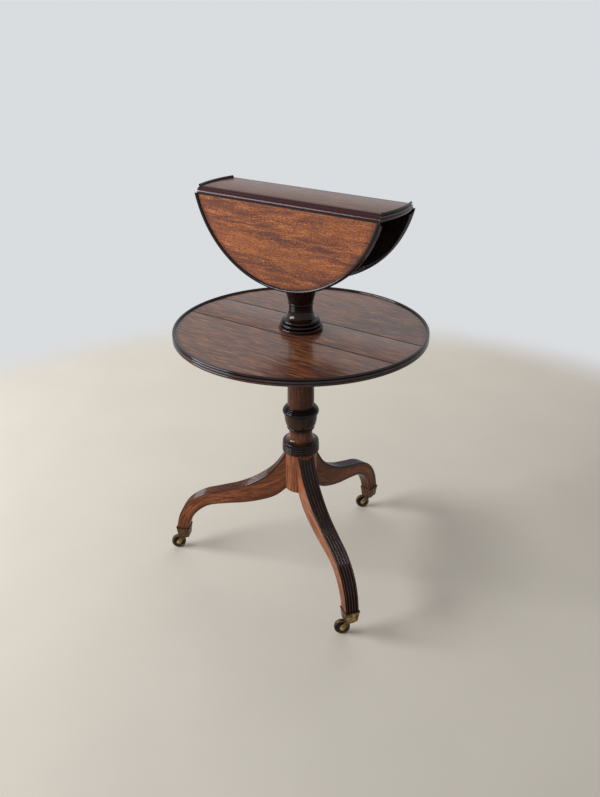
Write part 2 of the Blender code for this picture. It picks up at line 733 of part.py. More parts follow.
def make_columns(table, boards):
    """Both columns, and the boards' holes and the upper foot's socket for their tenons."""
    lower = part("lower_column", turned_mesh(lower_column_profile(), COLUMN_STEPS), table, MAHOGANY)
    upper = part("upper_column", turned_mesh(upper_column_profile(), COLUMN_STEPS), table, MAHOGANY)
    hole_radius = TENON_RADIUS + CLEARANCE
    underside = LOWER_SURFACE_Z - BOARD_THICKNESS
    tip = LOWER_SURFACE_Z + LOWER_TENON_REACH + CLEARANCE
    hole = rod_mesh(hole_radius, underside - OVERRUN, tip, COLUMN_STEPS)
    socket = cutter("lower_tenon_hole", hole, table)
    combine(boards["lower"], socket)
    combine(upper, socket)
    underside = UPPER_SURFACE_Z - BOARD_THICKNESS
    tip = underside + UPPER_TENON_DEPTH + CLEARANCE
    hole = rod_mesh(hole_radius, underside - OVERRUN, tip, COLUMN_STEPS)
    combine(boards["upper"], cutter("upper_tenon_hole", hole, table))
    return lower, upper


def make_fixing(deck, board, column):
    """The screw that holds the upper board to its column, and the pellet over it."""
    place = frame_empty("fixing_place", deck, (0.0, 0.0, -PELLET_HEIGHT - CLEARANCE))
    sizes = (FIXING_HEAD_RADIUS, FIXING_SHANK_RADIUS, FIXING_HEAD_HEIGHT, FIXING_LENGTH)
    down = frame_empty("fixing_axis", place, tilt=180.0)
    make_screw("upper_fixing_screw", down, STEEL, sizes, FIXING_SIDES, (board, column))
    pellet = rod_mesh(PELLET_RADIUS, CLEARANCE, PELLET_HEIGHT + CLEARANCE, FIXING_SIDES)
    part("upper_pellet", pellet, place, EDGE_MAHOGANY)
    hole = rod_mesh(PELLET_RADIUS + CLEARANCE, -CLEARANCE, PELLET_HEIGHT + OVERRUN, FIXING_SIDES)
    combine(board, cutter("upper_pellet_hole", hole, place))


# Legs

def smooth_path(points, segments):
    """A smooth curve through the points, with extra points between each pair."""
    path = []
    for i in range(len(points) - 1):
        before = points[max(i - 1, 0)]
        start, end = points[i], points[i + 1]
        after = points[min(i + 2, len(points) - 1)]
        for k in range(segments):
            t = k / segments
            weights = (
                (-t ** 3 + 2 * t ** 2 - t) / 2, (3 * t ** 3 - 5 * t ** 2 + 2) / 2,
                (-3 * t ** 3 + 4 * t ** 2 + t) / 2, (t ** 3 - t ** 2) / 2,
            )
            group = (before, start, end, after)
            path.append(tuple(sum(w * p[axis] for w, p in zip(weights, group)) for axis in (0, 1)))
    path.append(points[-1])
    return path


def leg_side(shares, root, foot):
    """One outline of the leg's side view, from shares of the spans between root and foot."""
    return [(root[0] + (foot[0] - root[0]) * r, foot[1] + (root[1] - foot[1]) * z) for r, z in shares]


def leg_section(top, under, half, depth):
    """One section across the leg: reeds along its top edge and a flat underside."""
    along = (top[0] - under[0], top[1] - under[1])
    length = math.hypot(*along)
    up = (along[0] / length, along[1] / length)
    points = [(under[0], half, under[1]), (under[0], -half, under[1])]
    count = LEG_REEDS * LEG_REED_SEGMENTS
    for i in range(count + 1):
        swing = math.pi * (i % LEG_REED_SEGMENTS) / LEG_REED_SEGMENTS
        sink = depth * (1 - math.sin(swing))
        y = -half + 2 * half * i / count
        points.append((top[0] - up[0] * sink, y, top[1] - up[1] * sink))
    return points


def leg_mesh():
    """The leg as a loft of sections from the block to the foot inside the castor cap."""
    root_top = (LEG_ROOT_RADIUS, COLLAR_BOTTOM_Z - CLEARANCE)
    root_under = (LEG_ROOT_RADIUS, BLOCK_BOTTOM_Z)
    foot_top = (FOOT_RADIUS + FOOT_WIDTH / 2, CAP_TOP_Z)
    foot_under = (FOOT_RADIUS - FOOT_WIDTH / 2, CAP_TOP_Z)
    tops = smooth_path(leg_side(LEG_TOP_SHARES, root_top, foot_top), LEG_PATH_SEGMENTS)
    unders = smooth_path(leg_side(LEG_UNDER_SHARES, root_under, foot_under), LEG_PATH_SEGMENTS)
    sections = []
    for i, (top, under) in enumerate(zip(tops, unders)):
        share = i / (len(tops) - 1)
        half = (LEG_ROOT_WIDTH + (FOOT_WIDTH - LEG_ROOT_WIDTH) * share) / 2
        sections.append(leg_section(top, under, half, LEG_REED_DEPTH))
    tip = CAP_BOTTOM_WIDTH / 2 - CAP_WALL - CLEARANCE
    tip_z = CAP_BOTTOM_Z + CAP_FLOOR + CLEARANCE
    sections.append(leg_section((FOOT_RADIUS + tip, tip_z), (FOOT_RADIUS - tip, tip_z), tip, 0.0))
    bm = bmesh.new()
    rings = [[bm.verts.new(point) for point in section] for section in sections]
    for low, high in zip(rings, rings[1:]):
        count = len(low)
        for i in range(count):
            bm.faces.new((low[i], low[(i + 1) % count], high[(i + 1) % count], high[i]))
    bm.faces.new(rings[0])
    bm.faces.new(rings[-1])
    return finished_mesh(bm)


def tongue_mesh(grow, overlap):
    """The dovetail on the leg's root, or its slot in the block when grown."""
    inner = LEG_ROOT_RADIUS - TONGUE_LENGTH - grow
    outer = LEG_ROOT_RADIUS + overlap
    narrow = TONGUE_ROOT_WIDTH / 2 + grow
    wide = TONGUE_END_WIDTH / 2 + grow
    outline = [(inner, -wide), (LEG_ROOT_RADIUS, -narrow), (outer, -narrow), (outer, narrow),
               (LEG_ROOT_RADIUS, narrow), (inner, wide)]
    low = BLOCK_BOTTOM_Z + CLEARANCE if grow == 0.0 else BLOCK_BOTTOM_Z - OVERRUN
    high = COLLAR_BOTTOM_Z - TONGUE_TOP_DROP + grow
    return extruded_mesh(outline, high - low, Matrix.Translation((0.0, 0.0, (low + high) / 2)))


def make_leg(name, angle, table, column):
    """A leg with its dovetail, and its slot and flat in the column's block."""
    frame = frame_empty(f"leg_{name}_axis", table, turn=angle)
    leg = part(f"leg_{name}", leg_mesh(), frame, MAHOGANY)
    combine(leg, cutter(f"leg_{name}_tongue", tongue_mesh(0.0, OVERRUN), frame), "UNION")
    combine(column, cutter(f"leg_{name}_slot", tongue_mesh(CLEARANCE, OVERRUN), frame))
    half = LEG_ROOT_WIDTH / 2 + CLEARANCE
    flat = box_mesh((LEG_ROOT_RADIUS - CLEARANCE, -half, BLOCK_BOTTOM_Z - OVERRUN),
                    (BLOCK_RADIUS + OVERRUN, half, COLLAR_BOTTOM_Z))
    combine(column, cutter(f"leg_{name}_flat", flat, frame))
    return frame, leg


def make_leg_plate(table, legs):
    """The iron plate under the block, with a screw up into each dovetail."""
    top = BLOCK_BOTTOM_Z - CLEARANCE
    bottom = top - PLATE_THICKNESS
    mesh = rod_mesh(PLATE_RADIUS, bottom, top, PLATE_SIDES)
    plate = part("leg_plate", mesh, table, IRON)
    sizes = (PLATE_SCREW_HEAD_RADIUS, PLATE_SCREW_SHANK_RADIUS, PLATE_SCREW_HEAD_HEIGHT, PLATE_SCREW_LENGTH)
    for name, (frame, leg) in legs.items():
        axis = frame_empty(f"leg_plate_{name}_screw_axis", frame, (PLATE_SCREW_RADIUS, 0.0, bottom))
        make_screw(f"leg_plate_{name}_screw", axis, STEEL, sizes, SCREW_SIDES, (plate, leg))


# Castors

def make_cap(name, frame):
    """The square brass socket round the foot, with the stem that the horn turns on."""
    low_half = CAP_BOTTOM_WIDTH / 2
    slope = (CAP_TOP_HALF - low_half) / (CAP_TOP_Z - CAP_BOTTOM_Z)
    place = frame_empty(f"castor_{name}_cap_place", frame, (FOOT_RADIUS, 0.0, 0.0))
    block = square_taper_mesh(low_half, CAP_TOP_HALF, CAP_BOTTOM_Z, CAP_TOP_Z)
    cap = part(f"castor_{name}_cap", block, place, BRASS)
    rim_half = CAP_TOP_HALF + CAP_RIM_WIDTH
    rim_low = CAP_TOP_Z - CAP_RIM_HEIGHT
    rim = box_mesh((-rim_half, -rim_half, rim_low), (rim_half, rim_half, CAP_TOP_Z))
    combine(cap, cutter(f"castor_{name}_rim", rim, place), "UNION")
    floor = CAP_BOTTOM_Z + CAP_FLOOR
    inner_low = low_half - CAP_WALL
    inner_top = CAP_TOP_HALF - CAP_WALL
    lift = OVERRUN * slope
    hollow = square_taper_mesh(inner_low, inner_top + lift, floor, CAP_TOP_Z + OVERRUN)
    combine(cap, cutter(f"castor_{name}_hollow", hollow, place))

    horn_low = CAP_BOTTOM_Z - CLEARANCE - HORN_THICKNESS
    head_top = horn_low - CLEARANCE
    head_low = head_top - STEM_HEAD_HEIGHT
    root = CAP_BOTTOM_Z + CAP_FLOOR / 2
    profile = [
        (0.0, head_low), (STEM_HEAD_RADIUS, head_low), (STEM_HEAD_RADIUS, head_top), (STEM_RADIUS, head_top),
        (STEM_RADIUS, root), (0.0, root),
    ]
    combine(cap, cutter(f"castor_{name}_stem", turned_mesh(profile, STEM_SIDES), place), "UNION")
    return cap


def make_cap_screw(name, frame, cap, leg):
    """The screw that holds a cap to its foot, square to the outer sloping wall."""
    low_half = CAP_BOTTOM_WIDTH / 2
    tilt = math.atan2(CAP_TOP_HALF - low_half, CAP_TOP_Z - CAP_BOTTOM_Z)
    out = FOOT_RADIUS + CAP_TOP_HALF - CAP_SCREW_DROP * math.tan(tilt)
    height = CAP_TOP_Z - CAP_SCREW_DROP
    place = frame_empty(f"castor_{name}_screw_place", frame, (out, 0.0, height), turn=90.0)
    axis = frame_empty(f"castor_{name}_screw_axis", place, tilt=-90.0 + math.degrees(tilt))
    sizes = (SCREW_HEAD_RADIUS, SCREW_SHANK_RADIUS, SCREW_HEAD_HEIGHT, SCREW_LENGTH)
    make_screw(f"castor_{name}_cap_screw", axis, BRASS, sizes, SCREW_SIDES, (cap, leg))


def horn_outline():
    """Side view of the horn: top plate over the stem, arms sweeping back to the axle boss."""
    top = CAP_BOTTOM_Z - CLEARANCE
    under = top - HORN_THICKNESS
    boss = arc((TRAIL, WHEEL_RADIUS), HORN_BOSS_RADIUS, -135.0, 45.0, HORN_BOSS_SEGMENTS)
    throat = (0.0, under - HORN_THROAT_DROP)
    return [(-HORN_HALF_LENGTH, top), (-HORN_HALF_LENGTH, under), throat, *boss, (HORN_HALF_LENGTH, top)]


def make_castor(name, angle, table):
    """The horn, axle and wheel of one castor."""
    a = math.radians(angle)
    spot = (FOOT_RADIUS * math.cos(a), FOOT_RADIUS * math.sin(a), 0.0)
    swivel = frame_empty(f"castor_{name}_swivel", table, spot, TRAIL_ANGLE)
    plate = extruded_mesh(horn_outline(), 2 * HORN_HALF_WIDTH, ALONG_Y)
    horn = part(f"castor_{name}_horn", plate, swivel, BRASS)
    under = CAP_BOTTOM_Z - CLEARANCE - HORN_THICKNESS
    slot = WHEEL_HUB_WIDTH / 2 + CLEARANCE
    reach = TRAIL + WHEEL_RADIUS + OVERRUN
    gap = box_mesh((-reach, -slot, -OVERRUN), (reach, slot, under))
    combine(horn, cutter(f"castor_{name}_gap", gap, swivel))
    bore = rod_mesh(STEM_RADIUS + CLEARANCE, under - OVERRUN, CAP_BOTTOM_Z + OVERRUN, STEM_SIDES)
    combine(horn, cutter(f"castor_{name}_stem_bore", bore, swivel))

    spin = frame_empty(f"castor_{name}_spin", swivel, (TRAIL, 0.0, WHEEL_RADIUS), tilt=90.0)
    reach = HORN_HALF_WIDTH + OVERRUN
    eye = rod_mesh(AXLE_RADIUS + CLEARANCE, -reach, reach, AXLE_SIDES)
    combine(horn, cutter(f"castor_{name}_axle_bore", eye, spin))
    part(f"castor_{name}_axle", turned_mesh(axle_profile(), AXLE_SIDES), spin, BRASS)
    part(f"castor_{name}_wheel", turned_mesh(wheel_profile(), WHEEL_STEPS, ring=True), spin, BRASS)


def axle_profile():
    """A pin with a riveted head outside each arm."""
    inner = HORN_HALF_WIDTH + CLEARANCE
    outer = inner + AXLE_HEAD_HEIGHT
    return [
        (0.0, -outer), (AXLE_HEAD_RADIUS / 2, -outer), (AXLE_HEAD_RADIUS, -inner), (AXLE_RADIUS, -inner),
        (AXLE_RADIUS, inner), (AXLE_HEAD_RADIUS, inner), (AXLE_HEAD_RADIUS / 2, outer), (0.0, outer),
    ]


def wheel_profile():
    """Half section of the wheel: hub, thin web and rounded rim."""
    bore = AXLE_RADIUS + CLEARANCE
    hub = WHEEL_HUB_WIDTH / 2
    web = WHEEL_WEB_WIDTH / 2
    rim = WHEEL_RIM_WIDTH / 2
    rim_in = WHEEL_RADIUS - WHEEL_RIM_DEPTH
    tread = WHEEL_RADIUS - WHEEL_ROUNDING
    half = [(WHEEL_RADIUS, rim - WHEEL_ROUNDING), (tread, rim), (rim_in + WHEEL_ROUNDING, rim), (rim_in, web),
            (WHEEL_HUB_RADIUS, web), (WHEEL_HUB_RADIUS, hub), (bore, hub)]
    return half + [(r, -z) for r, z in reversed(half)]


def make_stand(table, boards, decks):
    """Columns, legs, plate and castors."""
    lower, upper = make_columns(table, boards)
    make_fixing(decks["upper"], boards["upper"], upper)
    legs = {}
    for name, place in LEG_ANGLES.items():
        angle = place + STAND_TURN
        legs[name] = make_leg(name, angle, table, lower)
        frame, leg = legs[name]
        cap = make_cap(name, frame)
        make_cap_screw(name, frame, cap, leg)
        make_castor(name, angle, table)
    make_leg_plate(table, legs)


def main():
    table = frame_empty("column_axis", None, (COLUMN_X, COLUMN_Y, 0.0))
    boards = {}
    decks = {}
    for name, tier in TIERS.items():
        decks[name], boards[name] = make_tier(name, tier, table)
        make_bearer(name, tier, decks[name], boards[name])
    make_stand(table, boards, decks)


clear_scene()
PARTS, CUTTERS = make_collections()
MAHOGANY = make_material("mahogany", (0.20, 0.075, 0.035), 0.30)
EDGE_MAHOGANY = make_material("edge_mahogany", (0.09, 0.035, 0.022), 0.35)
BRASS = make_material("brass", (0.55, 0.40, 0.18), 0.35, 1.0)
STEEL = make_material("steel", (0.35, 0.34, 0.33), 0.40, 1.0)
IRON = make_material("iron", (0.08, 0.075, 0.07), 0.60, 1.0)
main()
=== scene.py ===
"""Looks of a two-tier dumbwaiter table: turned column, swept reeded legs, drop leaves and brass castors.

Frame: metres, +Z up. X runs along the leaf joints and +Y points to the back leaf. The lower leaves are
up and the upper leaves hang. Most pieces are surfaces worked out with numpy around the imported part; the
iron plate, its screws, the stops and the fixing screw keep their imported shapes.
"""
import math

import bmesh
import bpy
import numpy as np
from bpy.props import FloatProperty, FloatVectorProperty, PointerProperty
from mathutils import Matrix, Vector


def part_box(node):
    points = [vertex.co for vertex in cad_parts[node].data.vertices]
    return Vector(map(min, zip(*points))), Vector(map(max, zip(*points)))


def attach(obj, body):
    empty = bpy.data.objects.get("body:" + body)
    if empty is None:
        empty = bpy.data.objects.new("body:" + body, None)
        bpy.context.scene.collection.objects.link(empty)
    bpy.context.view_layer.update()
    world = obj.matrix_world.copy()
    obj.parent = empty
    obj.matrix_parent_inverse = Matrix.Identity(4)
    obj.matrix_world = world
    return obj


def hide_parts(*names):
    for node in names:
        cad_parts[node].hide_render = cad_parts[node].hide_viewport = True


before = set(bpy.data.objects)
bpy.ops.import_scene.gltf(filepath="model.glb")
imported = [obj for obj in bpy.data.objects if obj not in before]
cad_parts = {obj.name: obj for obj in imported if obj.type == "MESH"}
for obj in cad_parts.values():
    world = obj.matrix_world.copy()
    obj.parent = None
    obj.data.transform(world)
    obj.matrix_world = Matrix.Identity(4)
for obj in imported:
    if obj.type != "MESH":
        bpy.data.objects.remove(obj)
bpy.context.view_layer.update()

bl_info = {
    "name": "Dumbwaiter table",
    "version": (1, 0, 0),
    "blender": (4, 5, 0),
    "location": "View3D > Sidebar > Dumbwaiter",
    "description": "Builds a two-tier dumbwaiter table with drop leaves, and its stage",
    "category": "Add Mesh",
}

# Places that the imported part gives
COLUMN_X, COLUMN_Y = [(low + high) / 2 for low, high in zip(*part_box("upper_column"))][:2]
LOWER_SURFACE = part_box("lower_centre_board")[1].z
UPPER_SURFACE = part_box("upper_centre_board")[1].z
LEG_ANGLES = {"back": 86.0, "left": 206.0, "right": 326.0}
SIDES = {"back": 1, "front": -1}
ENDS = {"left": -1, "right": 1}

# Boards, leaves and their joints
GAP = 0.0003  # clearance between neighbours
BOARD = 0.015  # thickness of boards and leaves
HALF = 0.054  # half the width of a middle board
RULE_ROUND = 0.0095  # radius of the rule joint
RULE_DROP = 0.012  # depth of the joint's centre under the surface
FINE = 0.0001  # a step too small to see, where two rows of points stand close together

# Reeded edges
EDGE_WIDTH = 0.006
EDGE_DEPTH = 0.013  # how far an edge reaches below the surface
LIP = 0.00385  # how far it stands above the surface
EDGE_GROOVE = 0.0018
EDGE_REEDS = 3

# Hinges and screws
HINGE_LENGTH = 0.036
HINGE_MIDDLE = 0.014  # length of the flap's knuckle
HINGE_THICKNESS = 0.0014
HINGE_START = 0.0012  # distance from the pin to where the flat leaves start
PLATE_REACH = 0.026
FLAP_REACH = 0.038
PLATE_SCREWS = ((-0.012, 0.018), (0.012, 0.018))  # along the pin and away from it
FLAP_SCREWS = ((-0.011, 0.028), (0.011, 0.028))
KNUCKLE = BOARD - RULE_DROP
SCREW_HEAD = 0.0026
SCREW_SLOT = 0.0005

# Bearers
BEARER_REACH = {"lower": 0.120, "upper": 0.100}
BEARER_THICKNESS = 0.018
BEARER_END = 0.016  # radius of its ends
BEARER_HUB = 0.024  # radius round the column's tenon
BEARER_WAIST = 0.018  # half its width where it leaves the hub

# Columns
BLOCK_LOW = 0.203
BLOCK_TOP = 0.2995
TENON = 0.018
SHOULDER = 0.0186  # depth of the columns' shoulders under the boards
COLUMN_STEPS = 144

# Legs
LEG_ROOT = 0.030
FOOT_RADIUS = 0.286  # distance of the feet from the column
FOOT_WIDTH = 0.029
LEG_REEDS = 5
LEG_CORNER = 0.0016

# Castors
CAP_TOP = 0.064
CAP_LOW = 0.036
CAP_WALL = 0.0012
CAP_HALF = FOOT_WIDTH / 2 + GAP + CAP_WALL
CAP_LOW_HALF = 0.013
CAP_SLOPE = (CAP_HALF - CAP_LOW_HALF) / (CAP_TOP - CAP_LOW)
CAP_FLOOR = 0.003  # thickness under the foot
RIM_HEIGHT = 0.003
RIM_PROUD = 0.0004
CAP_SCREW_DROP = 0.010  # depth of the cap's screw under its rim
TRAIL = 0.016  # distance of the axle behind the stem
TRAIL_ANGLE = 215.0
WHEEL_RADIUS = 0.017
HORN_HALF = 0.0088  # half the horn's width
HORN_FRONT = 0.0085  # half the length of its top plate
HORN_PLATE = 0.0022
HORN_ARM = 0.0025
BOSS_RADIUS = 0.0052

# Stage
VIEW_TURN = 34.8  # degrees from the table's front
VIEW_PITCH = 25.90  # degrees down
FOCAL_PIXELS = 847.85  # length of the lens, in pixels of the picture
PICTURE_HEIGHT = 797.0
SENSOR = 36.0
FLOOR_RADIUS = 3.2
FLOOR_FADE = 1.7  # distance at which the floor has faded into the backdrop

# Colours of stain, dirt, rust and painted shade
OLD_RED = (0.050, 0.012, 0.009)  # worn strip beside the upper joints
ROUND_RED = (0.040, 0.007, 0.006)  # added to the black of a worn round
TARNISH_SPECK = (0.030, 0.022, 0.012)
CAP_BROWN = (0.085, 0.040, 0.026)
CAP_RIM_DARK = (0.022, 0.015, 0.010)
# Grime and painted shade: the dark on the castors' horns under the caps and in the wheels' dishes
GRIME_AND_SHADE = (0.020, 0.019, 0.020)
RUST = (0.085, 0.040, 0.020)


def length(name, description, default):
    """A length that a user may change."""
    return FloatProperty(name=name, description=description, default=default, unit="LENGTH", precision=4)


def share(name, description, default):
    """A plain number between nothing and one."""
    return FloatProperty(name=name, description=description, default=default, min=0.0, max=1.0)


def colour(name, description, default):
    """A colour that a user may change."""
    return FloatVectorProperty(
        name=name, description=description, default=default, subtype="COLOR", min=0.0, max=1.0
    )


class TableSizes(bpy.types.PropertyGroup):
    """Sizes of the table's pieces."""

    lower_radius: length("Lower radius", "Radius of the lower tier", 0.270)
    upper_radius: length("Upper radius", "Radius of the upper tier", 0.225)
    lower_surface: length("Lower surface", "Height of the lower tier's top", LOWER_SURFACE)
    upper_surface: length("Upper surface", "Height of the upper tier's top", UPPER_SURFACE)
    lower_hinge: length("Lower hinges", "Distance of the lower hinges from the middle", 0.170)
    upper_hinge: length("Upper hinges", "Distance of the upper hinges from the middle", 0.135)
    leg_width: length("Leg width", "Width of a leg at the block", 0.036)
    reed_depth: length("Reed depth", "Depth of the grooves along the legs", 0.0019)
    block_radius: length("Block radius", "Radius of the column's block between the legs", 0.036)


class TableColours(bpy.types.PropertyGroup):
    """Colours and finish of the table."""

    leaf_light: colour("Leaf light", "Light figure of the hanging leaves", (0.68, 0.228, 0.060))
    leaf_mid: colour("Leaf middle", "Body of the hanging leaves", (0.34, 0.098, 0.031))
    leaf_dark: colour("Leaf dark", "Dark figure of the hanging leaves", (0.075, 0.023, 0.018))
    deck_light: colour("Tier light", "Light figure of the tiers' tops", (0.47, 0.180, 0.062))
    deck_mid: colour("Tier middle", "Body of the tiers' tops", (0.175, 0.056, 0.025))
    deck_dark: colour("Tier dark", "Dark figure of the tiers' tops", (0.042, 0.016, 0.012))
    turned_light: colour("Turned light", "Worn wood of the columns", (0.50, 0.163, 0.070))
    turned_dark: colour("Turned dark", "Dark polish of the columns", (0.0045, 0.0020, 0.0026))
    leg_light: colour("Leg side", "Side faces of the legs", (0.54, 0.172, 0.072))
    leg_dark: colour("Leg top", "Reeded tops of the legs", (0.0050, 0.0022, 0.0030))
    edge: colour("Edge", "Reeded edges of the tiers", (0.0075, 0.0030, 0.0045))
    # Wear and a painted highlight: the light tone of the edges' reed crowns and lip
    edge_wear_and_highlight: colour("Worn edge", "Crowns of the edges' reeds, worn bare", (0.26, 0.105, 0.068))
    under: colour("Underside", "Undersides of boards and leaves", (0.016, 0.009, 0.008))
    brass: colour("Brass", "Brass where it is rubbed", (0.47, 0.300, 0.105))
    tarnish: colour("Tarnish", "Brass where it is tarnished", (0.050, 0.034, 0.016))
    iron: colour("Iron", "Blackened iron", (0.045, 0.040, 0.036))
    steel: colour("Steel", "Old steel of the hinges' screws", (0.20, 0.19, 0.18))
    floor: colour("Floor", "Floor under the table", (0.66, 0.59, 0.50))
    backdrop: colour("Backdrop", "Background behind the table", (0.70, 0.72, 0.74))
    polish: share("Polish", "Weight of the clear polish on the wood", 0.22)


# Shader maths

class Value:
    """A socket that takes part in sums: each sum adds a Math node."""

    def __init__(self, net, socket):
        self.net = net
        self.socket = socket

    def __add__(self, other):
        return self.net.maths("ADD", self, other)

    def __sub__(self, other):
        return self.net.maths("SUBTRACT", self, other)

    def __rsub__(self, other):
        return self.net.maths("SUBTRACT", other, self)

    def __mul__(self, other):
        return self.net.maths("MULTIPLY", self, other)

    __radd__ = __add__
    __rmul__ = __mul__


class Net:
    """The nodes of a new material, or of a world that is given."""

    def __init__(self, name="", world=None):
        owner = world or bpy.data.materials.new(name)
        owner.use_nodes = True
        self.tree = owner.node_tree
        self.output = self.tree.nodes["World Output" if world else "Material Output"]
        self.shader = self.output.inputs["Surface"].links[0].from_node

    def put(self, socket, value):
        """Link a socket to another, or set it."""
        if isinstance(value, Value):
            self.tree.links.new(value.socket, socket)
        elif hasattr(value, "__len__") and len(value) == 3 and socket.type == "RGBA":
            socket.default_value = (*value, 1.0)
        else:
            socket.default_value = value

    def node(self, kind, output=0, settings=None, **values):
        """Add a node with its settings, then its sockets, by name with underscores or as i and a place."""
        made = self.tree.nodes.new(kind)
        for key, value in (settings or {}).items():
            setattr(made, key, value)
        for key, value in values.items():
            label = int(key[1:]) if key[1:].isdigit() else key.replace("_", " ")
            self.put(made.inputs[label], value)
        return Value(self, made.outputs[output])

    def maths(self, operation, *values):
        """A Math node."""
        named = {f"i{i}": value for i, value in enumerate(values)}
        return self.node("ShaderNodeMath", settings={"operation": operation}, **named)

    def between(self, value, low, high):
        """A smooth step from nothing at low to one at high."""
        settings = {"interpolation_type": "SMOOTHSTEP"}
        return self.node("ShaderNodeMapRange", settings=settings, Value=value, From_Min=low, From_Max=high)

    def mix(self, factor, first, second):
        """Mix two colours."""
        return self.node("ShaderNodeMix", 2, {"data_type": "RGBA"}, i0=factor, i6=first, i7=second)

    def give_way(self, factor, second):
        """Mix the net's own shader with a second one, and feed that to the output."""
        first = Value(self, self.shader.outputs[0])
        mixed = self.node("ShaderNodeMixShader", i0=factor, i1=first, i2=second)
        self.put(self.output.inputs["Surface"], mixed)

    def place(self):
        """A point's place on its object."""
        return self.node("ShaderNodeTexCoord", "Object")

    def wood(self):
        """A point's place in the wood: along the grain, across it and in depth."""
        return self.node("ShaderNodeAttribute", "Vector", {"attribute_name": "wood"})

    def stain(self):
        """How far a point is stained, from bare to full."""
        return self.node("ShaderNodeAttribute", "Fac", {"attribute_name": "stain"})

    def part(self, vector, axis):
        """One part of a vector: X, Y or Z."""
        return self.node("ShaderNodeSeparateXYZ", axis, Vector=vector)

    def size_of(self, vector):
        """The length of a vector."""
        return self.node("ShaderNodeVectorMath", "Value", {"operation": "LENGTH"}, i0=vector)

    def stretch(self, vector, scales):
        """A vector with each part multiplied."""
        return self.node("ShaderNodeVectorMath", 0, {"operation": "MULTIPLY"}, i0=vector, i1=scales)

    def noise(self, vector, scales, detail=2.0, roughness=0.5, distortion=0.0):
        """Soft noise on a vector that is scaled first."""
        values = {"Scale": 1.0, "Detail": detail, "Roughness": roughness, "Distortion": distortion}
        return self.node("ShaderNodeTexNoise", Vector=self.stretch(vector, scales), **values)

    def finish(self, base, roughness, height=None, distance=0.0002, **others):
        """Feed the shader: colour, roughness, a bump where a height is given, and other sockets by name."""
        settings = {"Metallic": 0.0, "Coat_Weight": 0.0, "Coat_Roughness": 0.08, "Specular_IOR_Level": 0.5}
        settings.update(others, Base_Color=base, Roughness=roughness)
        if height is not None:
            bump = {"Strength": 1.0, "Distance": distance, "Height": height}
            settings["Normal"] = self.node("ShaderNodeBump", **bump)
        for key, value in settings.items():
            self.put(self.shader.inputs[key.replace("_", " ")], value)


def darker(tone, factor):
    """A colour with each part multiplied."""
    return tuple(factor * part for part in tone)


def grain(net, figure=1.0):
    """Wood grain from the place in the wood: slow waves, bands, streaks, flecks and ribbons.

    Each is noise on the stretched place, after the place across is bent by a wide, slow noise.
    """
    wood = net.wood()
    drift = net.noise(wood, (6.0, 18.0, 18.0), 2.0)
    sway = net.node("ShaderNodeCombineXYZ", X=0.0, Y=(drift - 0.5) * 0.030 * figure, Z=0.0)
    bent = net.node("ShaderNodeVectorMath", 0, {"operation": "ADD"}, i0=wood, i1=sway)
    wide = net.noise(bent, (4.0, 30.0, 30.0), 3.0, 0.5)
    bands = net.noise(bent, (14.0, 130.0, 130.0), 5.0, 0.68, 0.5)
    streaks = net.noise(bent, (48.0, 720.0, 720.0), 4.0, 0.65)
    flecks = net.noise(bent, (210.0, 620.0, 620.0), 3.0, 0.7)
    ribbons = net.noise(bent, (20.0, 230.0, 230.0), 4.0, 0.62)
    return wide, bands, streaks, flecks, ribbons


